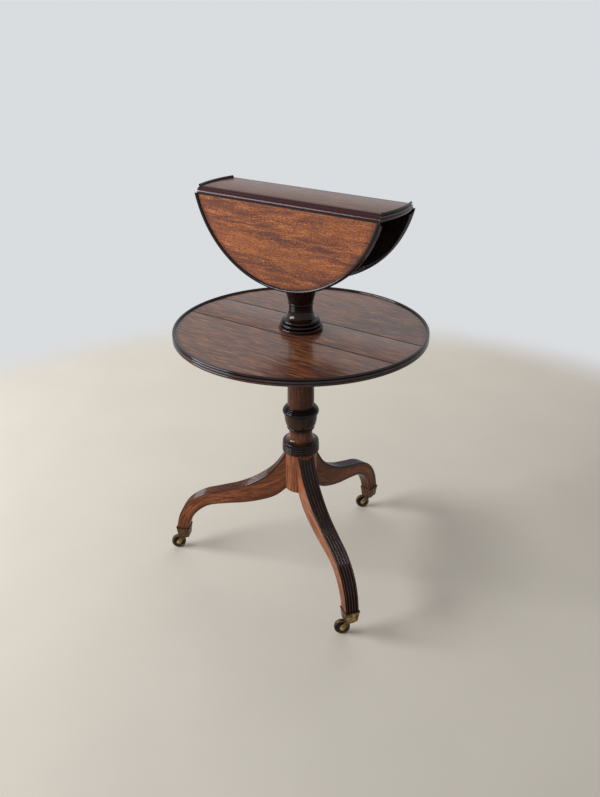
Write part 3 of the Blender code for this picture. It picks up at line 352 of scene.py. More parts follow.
def deck_wood(name, tones, radius, colours, sheen, figure=1.0, rounds=0.0, aged=0.0, flecked=0.2):
    """Polished tops: grain, a darker rim by the lip that is painted shade, and dark lines and rounds along
    the joints.

    Figure is the strength of the grain, rounds that of the stain on the rule joint's round, aged that of
    the worn dark strip beside it, and flecked the share of flecks against ribbons.
    """
    net = Net(name)
    light, middle, dark = tones
    wide, bands, streaks, flecks, ribbons = grain(net)
    flecks = flecks * flecked + ribbons * (1.0 - flecked)

    # The grain's three tones
    tone = net.between(wide * 0.55 + bands * 0.45, 0.36, 0.60)
    base = net.mix(tone * 0.8 * figure + (1.0 - 0.8 * figure), dark, middle)
    glow = net.between(bands * 0.55 + flecks * 0.45, 0.47, 0.66)
    base = net.mix(glow * (0.35 + 0.45 * figure), base, light)
    base = net.mix(net.between(streaks, 0.56, 0.38) * (0.30 + 0.25 * figure), base, dark)
    base = net.mix(net.between(flecks, 0.51, 0.36) * (0.25 + 0.50 * figure), base, dark)
    base = net.mix(net.between(flecks, 0.53, 0.68) * 0.40 * figure, base, light)

    # The rim by the lip, darkened as painted shade, the joint's line, the round beyond it and the strip
    # beside it
    wood = net.wood()
    out = net.size_of(net.stretch(wood, (1.0, 1.0, 0.0)))
    smudge = net.noise(wood, (30.0, 30.0, 30.0), 3.0)
    # Painted shade: a band inside the lip, darkened as if the lip shaded it
    rim = net.between(out + (smudge - 0.5) * 0.014, radius - 0.018, radius - 0.0070)
    base = net.mix(rim * 0.50, base, darker(dark, 0.45))
    side = net.maths("ABSOLUTE", net.part(wood, "Y"))
    joint = net.between(net.maths("ABSOLUTE", side - (HALF + 0.0002)), 0.0027, 0.0016)
    beyond = net.between(side, HALF - 0.0012, HALF - 0.0002) * rounds
    strip = net.between(side + (smudge - 0.5) * 0.010, HALF - 0.011, HALF - 0.007)
    base = net.mix(strip * aged, base, OLD_RED)
    rounded = tuple(black + aged * red for black, red in zip(colours.edge, ROUND_RED))
    base = net.mix(net.maths("MAXIMUM", joint, beyond * 0.97), base, rounded)
    outside = net.between(out, radius - EDGE_WIDTH - 0.0010, radius - EDGE_WIDTH - 0.0005)
    base = net.mix(outside, base, colours.under)

    # Wear and polish
    worn = net.noise(wood, (12.0, 40.0, 12.0), 4.0, 0.6)
    rough = sheen + worn * 0.14 - beyond * 0.04 + joint * 0.30
    height = (streaks * 0.25 + flecks * 0.15 + worn * 0.7) * (1.0 - beyond * 0.9)
    coat = (1.0 - beyond * 0.5) * (1.0 - joint * 0.95) * (colours.polish * (1.0 - 0.45 * aged))
    polish = {"Coat_Weight": coat, "Coat_Roughness": 0.10, "Specular_IOR_Level": 0.26 - 0.14 * aged}
    net.finish(base, rough, height, 0.00012, **polish)


def stained_wood(name, light, dark, colours, gloss=0.16, dull=0.42, gleam=1.0):
    """Wood whose polish darkens with the piece's stain, as on turnings, reeds and grooves.

    Gloss and dull are the roughness of stained and of bare wood, and gleam the weight of the clear polish.
    """
    net = Net(name)
    wide, bands, streaks, flecks, ribbons = grain(net, 0.6)
    stain = net.stain()
    cloud = net.noise(net.wood(), (26.0, 60.0, 60.0), 3.0, 0.6)
    depth = net.between(stain + (cloud - 0.5) * 0.34 + (bands - 0.5) * 0.22, 0.0, 1.0)
    warm = net.mix(net.between(bands * 0.6 + wide * 0.4, 0.38, 0.60), darker(light, 0.42), light)
    layers = ((ribbons, 0.54, 0.40, 0.80), (streaks, 0.57, 0.38, 0.60), (flecks, 0.51, 0.38, 0.55))
    for figure, low, high, weight in layers:
        warm = net.mix(net.between(figure, low, high) * weight, warm, darker(light, 0.22))
    base = net.mix(depth, warm, dark)
    rough = dull + (gloss - dull) * depth + (cloud - 0.5) * 0.10
    height = streaks * 0.2 + flecks * 0.1 + cloud * 0.5
    coat = colours.polish * gleam * (0.9 + depth * 0.4)
    polish = {"Coat_Weight": coat, "Coat_Roughness": 0.06, "Specular_IOR_Level": 0.08}
    net.finish(base, rough, height, 0.00007, **polish)


def old_brass(name, colours, dirt=0.5, rim=0.0, brown=0.0):
    """Brass rubbed on its crowns, dark with grime and painted shade where its stain is full, and tarnished
    in clouds and specks.

    Dirt is the share of tarnish, rim the height above which a cap is dark, and brown the strength of the
    brown on a cap's inner and side faces.
    """
    net = Net(name)
    place = net.place()
    cloud = net.noise(place, (150.0, 150.0, 150.0), 5.0, 0.65)
    specks = net.noise(place, (900.0, 900.0, 900.0), 3.0, 0.6)
    lines = net.noise(place, (300.0, 300.0, 2600.0), 2.0)
    dull = net.between(cloud * 0.75 + specks * 0.25, 0.62 - 0.35 * dirt, 0.80 - 0.35 * dirt)
    base = net.mix(dull, colours.brass, colours.tarnish)
    base = net.mix(net.between(specks, 0.60, 0.72) * 0.6, base, TARNISH_SPECK)
    if brown:
        wood = net.wood()
        inward = net.maths("ABSOLUTE", net.part(wood, "Y")) - net.part(wood, "X")
        away = net.between(inward, -0.0008, 0.0008)
        base = net.mix(away * brown * (0.55 + cloud * 0.5), base, CAP_BROWN)
    # Grime and painted shade where the piece's stain is full: under the cap on the horn, and in the wheel's
    # dish
    base = net.mix(net.stain() * 0.93, base, GRIME_AND_SHADE)
    if rim:
        above = net.between(net.part(place, "Z"), rim - 0.0004, rim + 0.0002)
        base = net.mix(above * 0.85, base, CAP_RIM_DARK)
    rough = 0.30 + dull * 0.22 + lines * 0.10
    height = cloud * 0.5 + specks * 0.4 + lines * 0.2
    net.finish(base, rough, height, 0.00012, Metallic=1.0 - dull * 0.35)


def dark_metal(name, tone, rough):
    """Blackened iron or steel with a faint bloom of rust."""
    net = Net(name)
    cloud = net.noise(net.place(), (220.0, 220.0, 220.0), 5.0, 0.6)
    rust = net.between(cloud, 0.52, 0.72)
    base = net.mix(rust * 0.6, tone, RUST)
    net.finish(base, rough + cloud * 0.2, cloud, 0.0001, Metallic=0.9 - rust * 0.5)


# Surfaces

class Shape:
    """Grids gathered into one mesh with named finishes, each point with a place in the wood and a stain."""

    def __init__(self, *finishes):
        self.finishes = finishes
        self.points = []
        self.wood = []
        self.stain = []
        self.faces = []
        self.count = 0

    def grid(self, points, along=False, ends=None, wood=None, stain=0.0):
        """Quads between rows along a path and columns round its closed section.

        The path is closed too where along is true. Ends are closed by one face each, or by a strip that
        pairs each point with its opposite.
        """
        points = np.asarray(points, float)
        rows, columns = points.shape[:2]
        a, b = np.meshgrid(np.arange(rows if along else rows - 1), np.arange(columns), indexing="ij")
        c, d = (a + 1) % rows, (b + 1) % columns
        quads = np.stack([a * columns + b, c * columns + b, c * columns + d, a * columns + d], -1)
        self.faces += (quads.reshape(-1, 4) + self.count).tolist()
        for first in (0, (rows - 1) * columns) if ends else ():
            loop = np.arange(columns) + first + self.count
            k = np.arange(columns // 2 - 1)
            strip = np.stack([loop[k], loop[k + 1], loop[columns - 2 - k], loop[columns - 1 - k]], -1)
            self.faces += [loop.tolist()] if ends == "face" else strip.tolist()
        self.points.append(points.reshape(-1, 3))
        wood = points if wood is None else np.broadcast_to(wood, points.shape)
        self.wood.append(np.asarray(wood, float).reshape(-1, 3))
        self.stain.append(np.broadcast_to(np.asarray(stain, float), points.shape[:2]).reshape(-1))
        self.count += rows * columns
        return self

    def moved(self, matrix):
        """Place every point gathered so far."""
        turn = np.array(matrix.to_3x3())
        shift = np.array(matrix.to_translation())
        self.points = [points @ turn.T + shift for points in self.points]
        return self

    def mesh(self, name, weld=0.000001):
        """The mesh: points closer than the weld made one, faces outward, wood and stain as attributes."""
        mesh = bpy.data.meshes.new(name)
        mesh.from_pydata(np.concatenate(self.points).tolist(), [], self.faces)
        wood = mesh.attributes.new("wood", "FLOAT_VECTOR", "POINT")
        wood.data.foreach_set("vector", np.concatenate(self.wood).ravel())
        stain = mesh.attributes.new("stain", "FLOAT", "POINT")
        stain.data.foreach_set("value", np.concatenate(self.stain))
        bm = bmesh.new()
        bm.from_mesh(mesh)
        bmesh.ops.remove_doubles(bm, verts=bm.verts, dist=weld)
        bmesh.ops.recalc_face_normals(bm, faces=bm.faces)
        bm.to_mesh(mesh)
        bm.free()
        for finish in self.finishes:
            mesh.materials.append(bpy.data.materials[finish])
        return mesh

    def made(self, name, body, slot, *nodes, sharp=32.0, bevel=0.0):
        """The finished piece, which rides on its body and stands for its nodes.

        Edges sharper than an angle in degrees stay sharp, or are rounded by the width of a bevel.
        """
        mesh = self.mesh(name)
        mesh.shade_smooth()
        mesh.set_sharp_from_angle(angle=math.radians(sharp))
        obj = bpy.data.objects.new(name, mesh)
        bpy.context.scene.collection.objects.link(obj)
        if bevel:
            modifier = obj.modifiers.new("rounding", "BEVEL")
            modifier.width = bevel
            modifier.segments = 2
            modifier.limit_method = "ANGLE"
            modifier.angle_limit = math.radians(sharp)
        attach(obj, body)
        if nodes:
            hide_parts(*nodes)
        return obj


def turned(profile, steps):
    """A turned surface: every profile radius swept round Z at its height."""
    profile = np.asarray(profile, float)
    angle = np.linspace(0.0, 2 * math.pi, steps, endpoint=False)
    radius = profile[:, :1]
    height = np.broadcast_to(profile[:, 1:2], (len(profile), steps))
    return np.stack([radius * np.cos(angle), radius * np.sin(angle), height], -1)


def prism(outline, low, high):
    """A flat outline carried straight up from one height to another."""
    outline = np.asarray(outline, float)
    return np.stack([np.column_stack([outline, np.full(len(outline), z)]) for z in (low, high)])


def arc(centre, radius, start, end, count):
    """Points on a circle between two angles in degrees, ends included."""
    angle = np.radians(np.linspace(start, end, count))
    return np.column_stack([centre[0] + radius * np.cos(angle), centre[1] + radius * np.sin(angle)])


def reed(z, height, edge, crown, count=13):
    """A half-round swelling: the radius follows a sine over the height, from groove to groove."""
    angle = np.linspace(0.0, math.pi, count)
    return np.column_stack([edge + (crown - edge) * np.sin(angle), z + height * (1 - np.cos(angle)) / 2])


def cove(z, height, low, top, count=13):
    """A hollow that leaves its low radius flat and ends upright, as a quarter of an ellipse."""
    angle = np.linspace(0.0, math.pi / 2, count)
    return np.column_stack([low + (top - low) * np.sin(angle), z + height * (1 - np.cos(angle))])


def swell(z, height, low, top, count=13):
    """A shoulder that leaves its low radius upright and ends flat, as a quarter of an ellipse."""
    angle = np.linspace(0.0, math.pi / 2, count)
    return np.column_stack([low + (top - low) * (1 - np.cos(angle)), z + height * np.sin(angle)])


def taper(z, height, low, top, count=13):
    """A straight run from one radius to another."""
    share_up = np.linspace(0.0, 1.0, count)
    return np.column_stack([low + (top - low) * share_up, z + height * share_up])


def line(*points):
    """Straight runs of a profile."""
    return np.array(points, float)


def placed(x=0.0, y=0.0, z=0.0, turn=0.0):
    """A place on the column's axis: turned about Z, then moved."""
    return Matrix.Translation((COLUMN_X + x, COLUMN_Y + y, z)) @ Matrix.Rotation(math.radians(turn), 4, "Z")


def tiers(sizes):
    """The two tiers: name, radius, surface, hinge distance and how far the leaves hang."""
    yield "lower", sizes.lower_radius, sizes.lower_surface, sizes.lower_hinge, 0.0
    yield "upper", sizes.upper_radius, sizes.upper_surface, sizes.upper_hinge, -90.0


def leaf_place(surface, facing, drop):
    """The frame of a leaf's pivot at rest."""
    spot = Matrix.Translation((COLUMN_X, COLUMN_Y + facing * HALF, surface - RULE_DROP))
    spot = spot @ Matrix.Rotation(0.0 if facing > 0 else math.pi, 4, "Z")
    return spot @ Matrix.Rotation(math.radians(drop), 4, "X")


# Boards and leaves

def board_edge(radius):
    """The radius at which boards and leaves end, inside the reeded edge."""
    return radius - EDGE_WIDTH - GAP / 2


def seat_rows(rows, hinge_x):
    """Places along the joint with a plain row and a cut row at each end of each hinge seat."""
    half = HINGE_LENGTH / 2 + GAP
    marked = [(x, 0, float(abs(abs(x) - hinge_x) < half)) for x in rows]
    for middle in (-hinge_x, hinge_x):
        low, high = middle - half, middle + half
        marked += [(low, 0, 0.0), (low, 1, 1.0), (high, 0, 1.0), (high, 1, 0.0)]
    marked.sort()
    return np.array([x for x, _, _ in marked]), np.array([cut for _, _, cut in marked])


def board_points(radius, hinge_x):
    """The middle board: its section, a flat top between two rule-joint rounds, carried along X.

    Between the hinge seats the section is plain. Across a seat its lower points rise into the wood.
    The first and last rows bend to the tier's circle.
    """
    half = HALF - GAP
    soft = 0.0008
    bottom = -BOARD
    low = math.degrees(math.asin(KNUCKLE / RULE_ROUND))
    high = math.degrees(math.asin(GAP / RULE_ROUND))
    top = np.concatenate([line((0.0, 0.0)), arc((half - soft, -soft), soft, 90.0, 0.0, 5)])
    curve = arc((half, -RULE_DROP), RULE_ROUND, 90.0, high, 15)
    tail = arc((half, -RULE_DROP), RULE_ROUND, high, -low, 5)[1:]
    seat_end = HALF - PLATE_REACH - GAP
    plain = np.column_stack([np.linspace(tail[-1, 0], seat_end, 7), np.full(7, bottom)])
    room = KNUCKLE + GAP
    ceiling = bottom + HINGE_THICKNESS + GAP
    cut_tail = np.column_stack([np.linspace(curve[-1, 0], HALF + room, 5)[1:], np.full(4, curve[-1, 1])])
    cut = line(
        (HALF + room, -RULE_DROP + room), (HALF - room, -RULE_DROP + room), (HALF - room, ceiling),
        (seat_end, ceiling), (seat_end, ceiling), (seat_end, bottom), (seat_end, bottom),
    )
    loops = []
    for under in ((tail, plain), (cut_tail, cut)):
        side = np.concatenate([top, curve, *under, line((0.0, bottom))])
        loops.append(np.concatenate([side, (side * np.array([-1.0, 1.0]))[-2:0:-1]]))
    plain_loop, cut_loop = loops
    edge = board_edge(radius)
    inner = math.sqrt(edge ** 2 - (HALF + RULE_ROUND) ** 2) - 0.003
    rows, cuts = seat_rows([-inner, inner], hinge_x)
    section = np.where(cuts[:, None, None] > 0.5, cut_loop, plain_loop)
    x = np.broadcast_to(rows[:, None], section.shape[:2])
    body = np.concatenate([x[..., None], section], -1)
    ends = np.sqrt(edge ** 2 - plain_loop[:, 0] ** 2)
    first = np.column_stack([-ends, plain_loop])
    last = np.column_stack([ends, plain_loop])
    return np.concatenate([first[None], body, last[None]])


def leaf_points(radius, hinge_x):
    """A leaf: its section across the joint carried along X, with its far end on the tier's circle.

    The section starts at the far top, runs in to the joint, down the hollow and out under the leaf.
    At the leaf's corners, where the circle comes inside the hollow, the section ends on the hollow.
    """
    edge = board_edge(radius)
    reach = math.sqrt(edge ** 2 - HALF ** 2) - FINE
    wall = RULE_ROUND + GAP
    corner = np.sqrt(edge ** 2 - (HALF + wall * np.cos(np.radians(np.arange(0.0, 90.0, 15.0)))) ** 2)
    corner = np.append(corner, corner[0] - FINE)
    rows = np.concatenate([reach * np.sin(np.linspace(-math.pi / 2, math.pi / 2, 81)), corner, -corner])
    rows, cuts = seat_rows(rows.tolist(), hinge_x)
    far = np.sqrt(edge ** 2 - rows ** 2)[:, None] - HALF

    hollow = arc((0.0, 0.0), wall, 90.0, 0.0, 15)
    under = -KNUCKLE
    seat = under + HINGE_THICKNESS + GAP
    back = FLAP_REACH + GAP
    y = np.concatenate([[0.0], hollow[:, 0], [wall, wall, back, back]])
    plain = np.concatenate([[RULE_DROP], hollow[:, 1], [under, under, under, under]])
    cut = np.concatenate([[RULE_DROP], hollow[:, 1], [seat, seat, seat, under]])
    z = np.where(cuts[:, None] > 0.5, cut, plain)
    y = np.concatenate([far, np.minimum(y[None, :], far), far], 1)
    z = np.concatenate([np.full_like(far, RULE_DROP), z, np.full_like(far, under)], 1)
    short = far < wall + 0.0000001
    z = np.maximum(z, np.where(short, np.sqrt(np.maximum(wall ** 2 - far ** 2, 0.0)), under))
    x = np.broadcast_to(rows[:, None], y.shape)
    return np.stack([x, y, z], -1)


def darken_under(obj, down):
    """Give faces that look along a direction the piece's second material."""
    mesh = obj.data
    normals = np.zeros(len(mesh.polygons) * 3)
    mesh.polygons.foreach_get("normal", normals)
    facing = normals.reshape(-1, 3) @ np.array(down) > 0.5
    mesh.polygons.foreach_set("material_index", facing.astype(np.int32))


def wood_of(points, across, seed):
    """Places in the wood of a board: along X, across from the tier's middle, and in depth by its seed."""
    return points + np.array([0.0, across, 0.37 * seed])


class MakeBoards(bpy.types.Operator):
    """Build the middle board of each tier, and the pellet in the upper one"""

    bl_idname = "dumbwaiter.boards"
    bl_label = "Middle boards"

    def execute(self, context):
        sizes = context.scene.table_sizes
        for seed, (name, radius, surface, hinge_x, _) in enumerate(tiers(sizes), 1):
            points = board_points(radius, hinge_x)
            shape = Shape(f"{name}_middle_wood", "under_wood")
            shape.grid(points, ends="strip", wood=wood_of(points, 0.0, seed)).moved(placed(z=surface))
            board = shape.made(f"{name}_middle_board", "stand", "mahogany", f"{name}_centre_board")
            darken_under(board, (0.0, 0.0, -1.0))
        width, depth, rise = 0.0042, 0.0025, 0.0003
        side = line((0.0, -depth), (width, -depth), (width, 0.0))
        pellet = turned(np.concatenate([side, swell(0.0, rise, width, 0.0)]), 32)
        shape = Shape("edge_wood").grid(pellet, stain=0.9).moved(placed(z=sizes.upper_surface))
        shape.made("upper_plug", "stand", "edge_mahogany", "upper_pellet")
        return {"FINISHED"}


class MakeLeaves(bpy.types.Operator):
    """Build the drop leaves"""

    bl_idname = "dumbwaiter.leaves"
    bl_label = "Leaves"

    def execute(self, context):
        seed = 3
        for name, radius, surface, hinge_x, drop in tiers(context.scene.table_sizes):
            for side, facing in SIDES.items():
                place = leaf_place(surface, facing, drop)
                points = leaf_points(radius, hinge_x)
                shape = Shape("hanging_leaf_wood" if drop else "lower_top_wood", "under_wood")
                shape.grid(points, ends="face", wood=wood_of(points, HALF, seed)).moved(place)
                label = f"{name}_{side}_leaf"
                leaf = shape.made(f"{name}_{side}_drop_leaf", label, "mahogany", label)
                darken_under(leaf, place.to_3x3() @ Vector((0.0, 0.0, -1.0)))
                seed += 1
        return {"FINISHED"}


# Reeded edges

def edge_profile(radius):
    """Section of the reeded edge and the stain of each point, from its outer foot up and down its back.

    The back has a point at the height of each outer one, so strips across the section follow the
    joint's curve.
    """
    groove = radius - EDGE_GROOVE
    height = (EDGE_DEPTH + LIP) / EDGE_REEDS
    reeds = [reed(-EDGE_DEPTH + i * height, height, groove, radius, 15) for i in range(EDGE_REEDS - 1)]
    outer = np.concatenate([reeds[0]] + [swelling[1:] for swelling in reeds[1:]])
    crown = EDGE_WIDTH / 2
    top = arc((radius - crown, LIP - crown), crown, 0.0, 180.0, 22)
    inner = np.column_stack([np.full(len(outer), radius - EDGE_WIDTH), outer[::-1, 1]])
    profile = np.concatenate([outer, top, inner])
    # Lighter crowns on the reeds and a lighter lip: wear and a painted highlight
    proud = (profile[:, 0] - groove) / EDGE_GROOVE
    stain = 1.10 - 0.80 * np.clip(proud, 0.0, 1.0) ** 4
    return profile, np.where(profile[:, 1] > 0.0, 0.82, stain)


def joint_reach(z, radius, lead):
    """Distance from the tier's middle line to the rule joint's curve at a depth below the surface."""
    depth = np.clip(z + RULE_DROP, 0.0, radius)
    return np.where(z > -RULE_DROP + radius, HALF + lead, HALF + lead + np.sqrt(radius ** 2 - depth ** 2))


def edge_shape(radius, joint, lead, across, turn, count):
    """The edge's section carried round the tier, each of its points between its own two angles.

    The angles are those where a circle of that point's radius meets the rule joint's curve. They lie
    across the end of the middle board, or else round a leaf.
    """
    profile, stain = edge_profile(radius)
    meet = np.arcsin(joint_reach(profile[:, 1], joint, lead) / profile[:, 0])
    first = -meet if across else meet
    last = meet if across else math.pi - meet
    angle = first + (last - first) * np.linspace(0.0, 1.0, count)[:, None] + turn
    r = np.broadcast_to(profile[:, 0], angle.shape)
    z = np.broadcast_to(profile[:, 1], angle.shape)
    points = np.stack([r * np.cos(angle), r * np.sin(angle), z], -1)
    wood = np.stack([radius * angle, r, z], -1)
    return Shape("edge_wood").grid(points, ends="strip", wood=wood, stain=stain)


class MakeEdges(bpy.types.Operator):
    """Build the reeded edges of both tiers"""

    bl_idname = "dumbwaiter.edges"
    bl_label = "Reeded edges"

    def execute(self, context):
        for name, radius, surface, _, drop in tiers(context.scene.table_sizes):
            for end, sign in ENDS.items():
                turn = 0.0 if sign > 0 else math.pi
                shape = edge_shape(radius, RULE_ROUND, -GAP, True, turn, 29)
                shape.moved(placed(z=surface))
                shape.made(f"{name}_{end}_end_edge", "stand", "edge_mahogany", f"{name}_{end}_end_moulding")
            for side, facing in SIDES.items():
                shape = edge_shape(radius, RULE_ROUND + GAP, 0.0, False, 0.0, 145)
                shape.moved(Matrix.Translation((0.0, -HALF, RULE_DROP)))
                shape.moved(leaf_place(surface, facing, drop))
                leaf = f"{name}_{side}_leaf"
                shape.made(f"{leaf}_edge", leaf, "edge_mahogany", f"{leaf}_moulding")
        return {"FINISHED"}


# Hinges and screws

def screw_head(depth, turn):
    """A round screw head that faces down: a slightly domed disc whose middle band is sunk as the slot."""
    steps = 36
    r = np.linspace(0.0, SCREW_HEAD, 9)[:, None]
    angle = np.linspace(0.0, 2 * math.pi, steps, endpoint=False)
    x = r * np.cos(angle)
    y = r * np.sin(angle)
    across = np.abs(x * math.sin(turn) + y * math.cos(turn))
    sunk = depth * np.clip((SCREW_SLOT - across) / (SCREW_SLOT * 0.3), 0.0, 1.0)
    dome = SCREW_HEAD * 0.06 * (1.0 - (r / SCREW_HEAD) ** 2)
    top = np.stack([x, y, sunk - dome], -1)
    inside = SCREW_HEAD * 0.5
    rim = np.stack([x[-1:] * 0.96, y[-1:] * 0.96, np.full((1, steps), inside)], -1)
    tip = np.broadcast_to([0.0, 0.0, inside], (1, steps, 3))
    return np.concatenate([top, rim, tip])


def knuckle_points(low, high):
    """A short barrel along X with softened ends."""
    soft = 0.0003
    profile = line(
        (0.0, low), (KNUCKLE - soft, low), (KNUCKLE, low + soft),
        (KNUCKLE, high - soft), (KNUCKLE - soft, high), (0.0, high),
    )
    return turned(profile, 32)[..., [2, 1, 0]]


def hinge_shape(sign, reach, spans, screws, seed):
    """A hinge leaf about its pin: a thin plate with its knuckles, and its screw heads as a second shape."""
    half = HINGE_LENGTH / 2
    near, far = sorted((sign * HINGE_START, sign * reach))
    outline = line((-half, near), (half, near), (half, far), (-half, far))
    plate = Shape("hinge_brass").grid(prism(outline, -KNUCKLE, -KNUCKLE + HINGE_THICKNESS), ends="face")
    for low, high in spans:
        plate.grid(knuckle_points(low, high))
    heads = Shape("screw_steel")
    for i, (x, y) in enumerate(screws):
        heads.grid(screw_head(0.0005, 0.7 * i + seed) + np.array([x, sign * y, -KNUCKLE]))
    return plate, heads


class MakeHinges(bpy.types.Operator):
    """Build the back-flap hinges with their screws"""

    bl_idname = "dumbwaiter.hinges"
    bl_label = "Hinges"

    def execute(self, context):
        half = HINGE_LENGTH / 2
        inner = HINGE_MIDDLE / 2
        plate_form = (-1, PLATE_REACH, ((-half, -inner - GAP), (inner + GAP, half)), PLATE_SCREWS)
        flap_form = (1, FLAP_REACH, ((-inner, inner),), FLAP_SCREWS)
        for name, _, surface, hinge_x, drop in tiers(context.scene.table_sizes):
            for side, facing in SIDES.items():
                halves = (
                    ("board", "plate", "stand", 0.0, plate_form, 2.0),
                    ("swing", "flap", f"{name}_{side}_leaf", drop, flap_form, 4.0),
                )
                for end, sign in ENDS.items():
                    label = f"{name}_{side}_{end}_hinge"
                    shift = Matrix.Translation((sign * facing * hinge_x, 0.0, 0.0))
                    for part, node, body, hang, form, seed in halves:
                        place = leaf_place(surface, facing, hang) @ shift
                        flat, heads = hinge_shape(*form, sign + seed)
                        flat.moved(place).made(f"{label}_{part}_leaf", body, "brass", f"{label}_{node}")
                        heads.moved(place).made(f"{label}_{part}_screws", body, "steel")
        return {"FINISHED"}


# Bearers

class MakeBearers(bpy.types.Operator):
    """Build the swivel bearers under the tiers"""

    bl_idname = "dumbwaiter.bearers"
    bl_label = "Bearers"

    def execute(self, context):
        hub = math.degrees(math.asin(BEARER_WAIST / BEARER_HUB))
        for name, _, surface, _, _ in tiers(context.scene.table_sizes):
            end = BEARER_REACH[name] - BEARER_END
            outline = np.concatenate([
                arc((end, 0.0), BEARER_END, -90.0, 90.0, 17),
                arc((0.0, 0.0), BEARER_HUB, hub, 180.0 - hub, 13),
                arc((-end, 0.0), BEARER_END, 90.0, 270.0, 17),
                arc((0.0, 0.0), BEARER_HUB, 180.0 + hub, 360.0 - hub, 13),
            ])
            top = surface - BOARD - GAP
            points = prism(outline, top - BEARER_THICKNESS, top)
            shape = Shape("turned_wood").grid(points, ends="face", stain=0.25).moved(placed())
            label = f"{name}_bearer"
            shape.made(f"{name}_swivel_bearer", label, "mahogany", label, sharp=40.0, bevel=0.0008)
        return {"FINISHED"}


# Columns

def rubbed(wear, breadth=0.20):
    """Stain over a reed: full in its grooves and lighter in a narrow bell curve on its crown, which is wear
    and a painted highlight.
    """
    across = np.linspace(-1.0, 1.0, 13)
    return 1.15 - wear * np.exp(-(across / breadth) ** 2)


class Turning:
    """A turned profile that grows from its foot up, with the stain of each of its points."""

    def __init__(self, z):
        self.z = z
        self.points = []
        self.stains = []

    def put(self, points, stain):
        """Add points of the profile as they are."""
        self.points.append(points)
        self.stains.append(np.broadcast_to(stain, len(points)))

    def form(self, form, height, low, top, stain, count=13, clear=0.0):
        """Add a form of a height between two radii, and leave clear height above it."""
        self.put(form(self.z, height, low, top, count), stain)
        self.z += height + clear

    def tenon(self, shoulder, surface, stain):
        """End in a tenon that stands on the shoulder and stops under a board's surface."""
        top = surface - BOARD - GAP
        self.put(line((TENON, shoulder), (TENON, top), (0.0, top)), stain)

    def made(self, name, node, shift):
        """The turned piece, its place in the wood shifted so that no two are alike."""
        points = turned(np.concatenate(self.points), COLUMN_STEPS)
        stain = np.concatenate(self.stains)[:, None]
        shape = Shape("turned_wood").grid(points, wood=points[..., [2, 0, 1]] + shift, stain=stain)
        shape.moved(placed()).made(name, "stand", "mahogany", node, sharp=40.0)


class MakeColumns(bpy.types.Operator):
    """Turn the lower and upper columns"""

    bl_idname = "dumbwaiter.columns"
    bl_label = "Columns"

    def execute(self, context):
        sizes = context.scene.table_sizes
        block = sizes.block_radius
        soft = 0.0008

        # The lower column: block, four reeds, shoulder, hollow, ring, bell, collar, three reeds and shaft
        column = Turning(BLOCK_TOP)
        column.put(line((0.0, BLOCK_LOW), (block - soft, BLOCK_LOW), (block, BLOCK_LOW + soft)), 0.10)
        column.put(line((block, BLOCK_TOP - 0.001)), 0.0)
        column.put(line((block, BLOCK_TOP)), 0.9)
        for _ in range(4):
            # Lighter reed crowns here and below: wear and a painted highlight
            column.form(reed, 0.0043, 0.0402, 0.0415, rubbed(0.62, 0.22))
        column.form(taper, 0.0005, 0.0406, 0.0406, 1.1, 2, 0.0040)
        column.form(swell, 0.0040, 0.0406, 0.0385, 1.1)
        column.form(cove, 0.0145, 0.0385, 0.0262, np.linspace(0.85, 0.35, 25), 25, 0.0146)
        column.put(line((0.0262, column.z - 0.0004)), 0.7)
        column.form(reed, 0.0058, 0.0285, 0.0310, 1.15)
        column.form(cove, 0.0324, 0.0290, 0.0368, 0.77, 25)
        column.form(reed, 0.0095, 0.0380, 0.0405, 1.15, 19)
        for crown in (0.0378, 0.0353, 0.0328):
            column.form(reed, 0.0030, crown - 0.0025, crown, rubbed(0.45))
        shoulder = sizes.lower_surface - BOARD - SHOULDER
        column.form(taper, shoulder - column.z, 0.0298, 0.0284, 0.66, 24)
        column.tenon(shoulder, sizes.lower_surface, 0.4)
        column.made("lower_turning", "lower_column", 0.0)

        # The upper column: three reeds, flare, ring, cup, collar, hollow and two reeds
        column = Turning(sizes.lower_surface + GAP)
        column.put(line((0.0, column.z)), 1.0)
        # Lighter reed crowns here and below: wear and a painted highlight
        for crown in (0.0472, 0.0438, 0.0404):
            column.form(reed, 0.0077, crown - 0.0034, crown, rubbed(0.58, 0.16))
        column.form(cove, 0.0220, 0.0368, 0.0250, 0.85, 25, 0.0084)
        column.form(reed, 0.0050, 0.0250, 0.0268, rubbed(0.35))
        column.form(taper, 0.0526, 0.0260, 0.0390, 0.89, 25)
        column.form(reed, 0.0070, 0.0390, 0.0405, 1.0)
        column.form(cove, 0.0200, 0.0390, 0.0240, 0.7)
        shoulder = sizes.upper_surface - BOARD - SHOULDER
        column.z = shoulder - 0.014
        column.put(line((0.0240, column.z)), 0.6)
        for _ in range(2):
            column.form(reed, 0.0070, 0.0286, 0.0310, 0.8)
        column.tenon(shoulder, sizes.upper_surface, 0.5)
        column.made("upper_turning", "upper_column", 0.7)
        return {"FINISHED"}


# Legs

# Shares of a leg's way out and of its height, along its top and along its underside
TOP_SHARES = line(
    (0.0, 1.0), (0.115, 0.792), (0.25, 0.657), (0.41, 0.5555), (0.585, 0.488),
    (0.75, 0.425), (0.885, 0.314), (0.965, 0.164), (1.0, 0.0),
)
UNDER_SHARES = line(
    (0.0, 1.0), (0.11, 0.83), (0.25, 0.72), (0.415, 0.64), (0.62, 0.58),
    (0.79, 0.505), (0.91, 0.34), (0.975, 0.15), (1.0, 0.0),
)
# Painted light and shade on each leg, as stain added to its reeded top and to its flanks: the back leg's
# flanks darker as painted shade, the left leg's top lighter as a painted sheen, and the right leg's top and
# flanks a little lighter as painted light
LEG_PAINTED_LIGHT_AND_SHADE = {"back": (0.0, 0.26), "left": (-0.34, 0.08), "right": (-0.04, -0.08)}


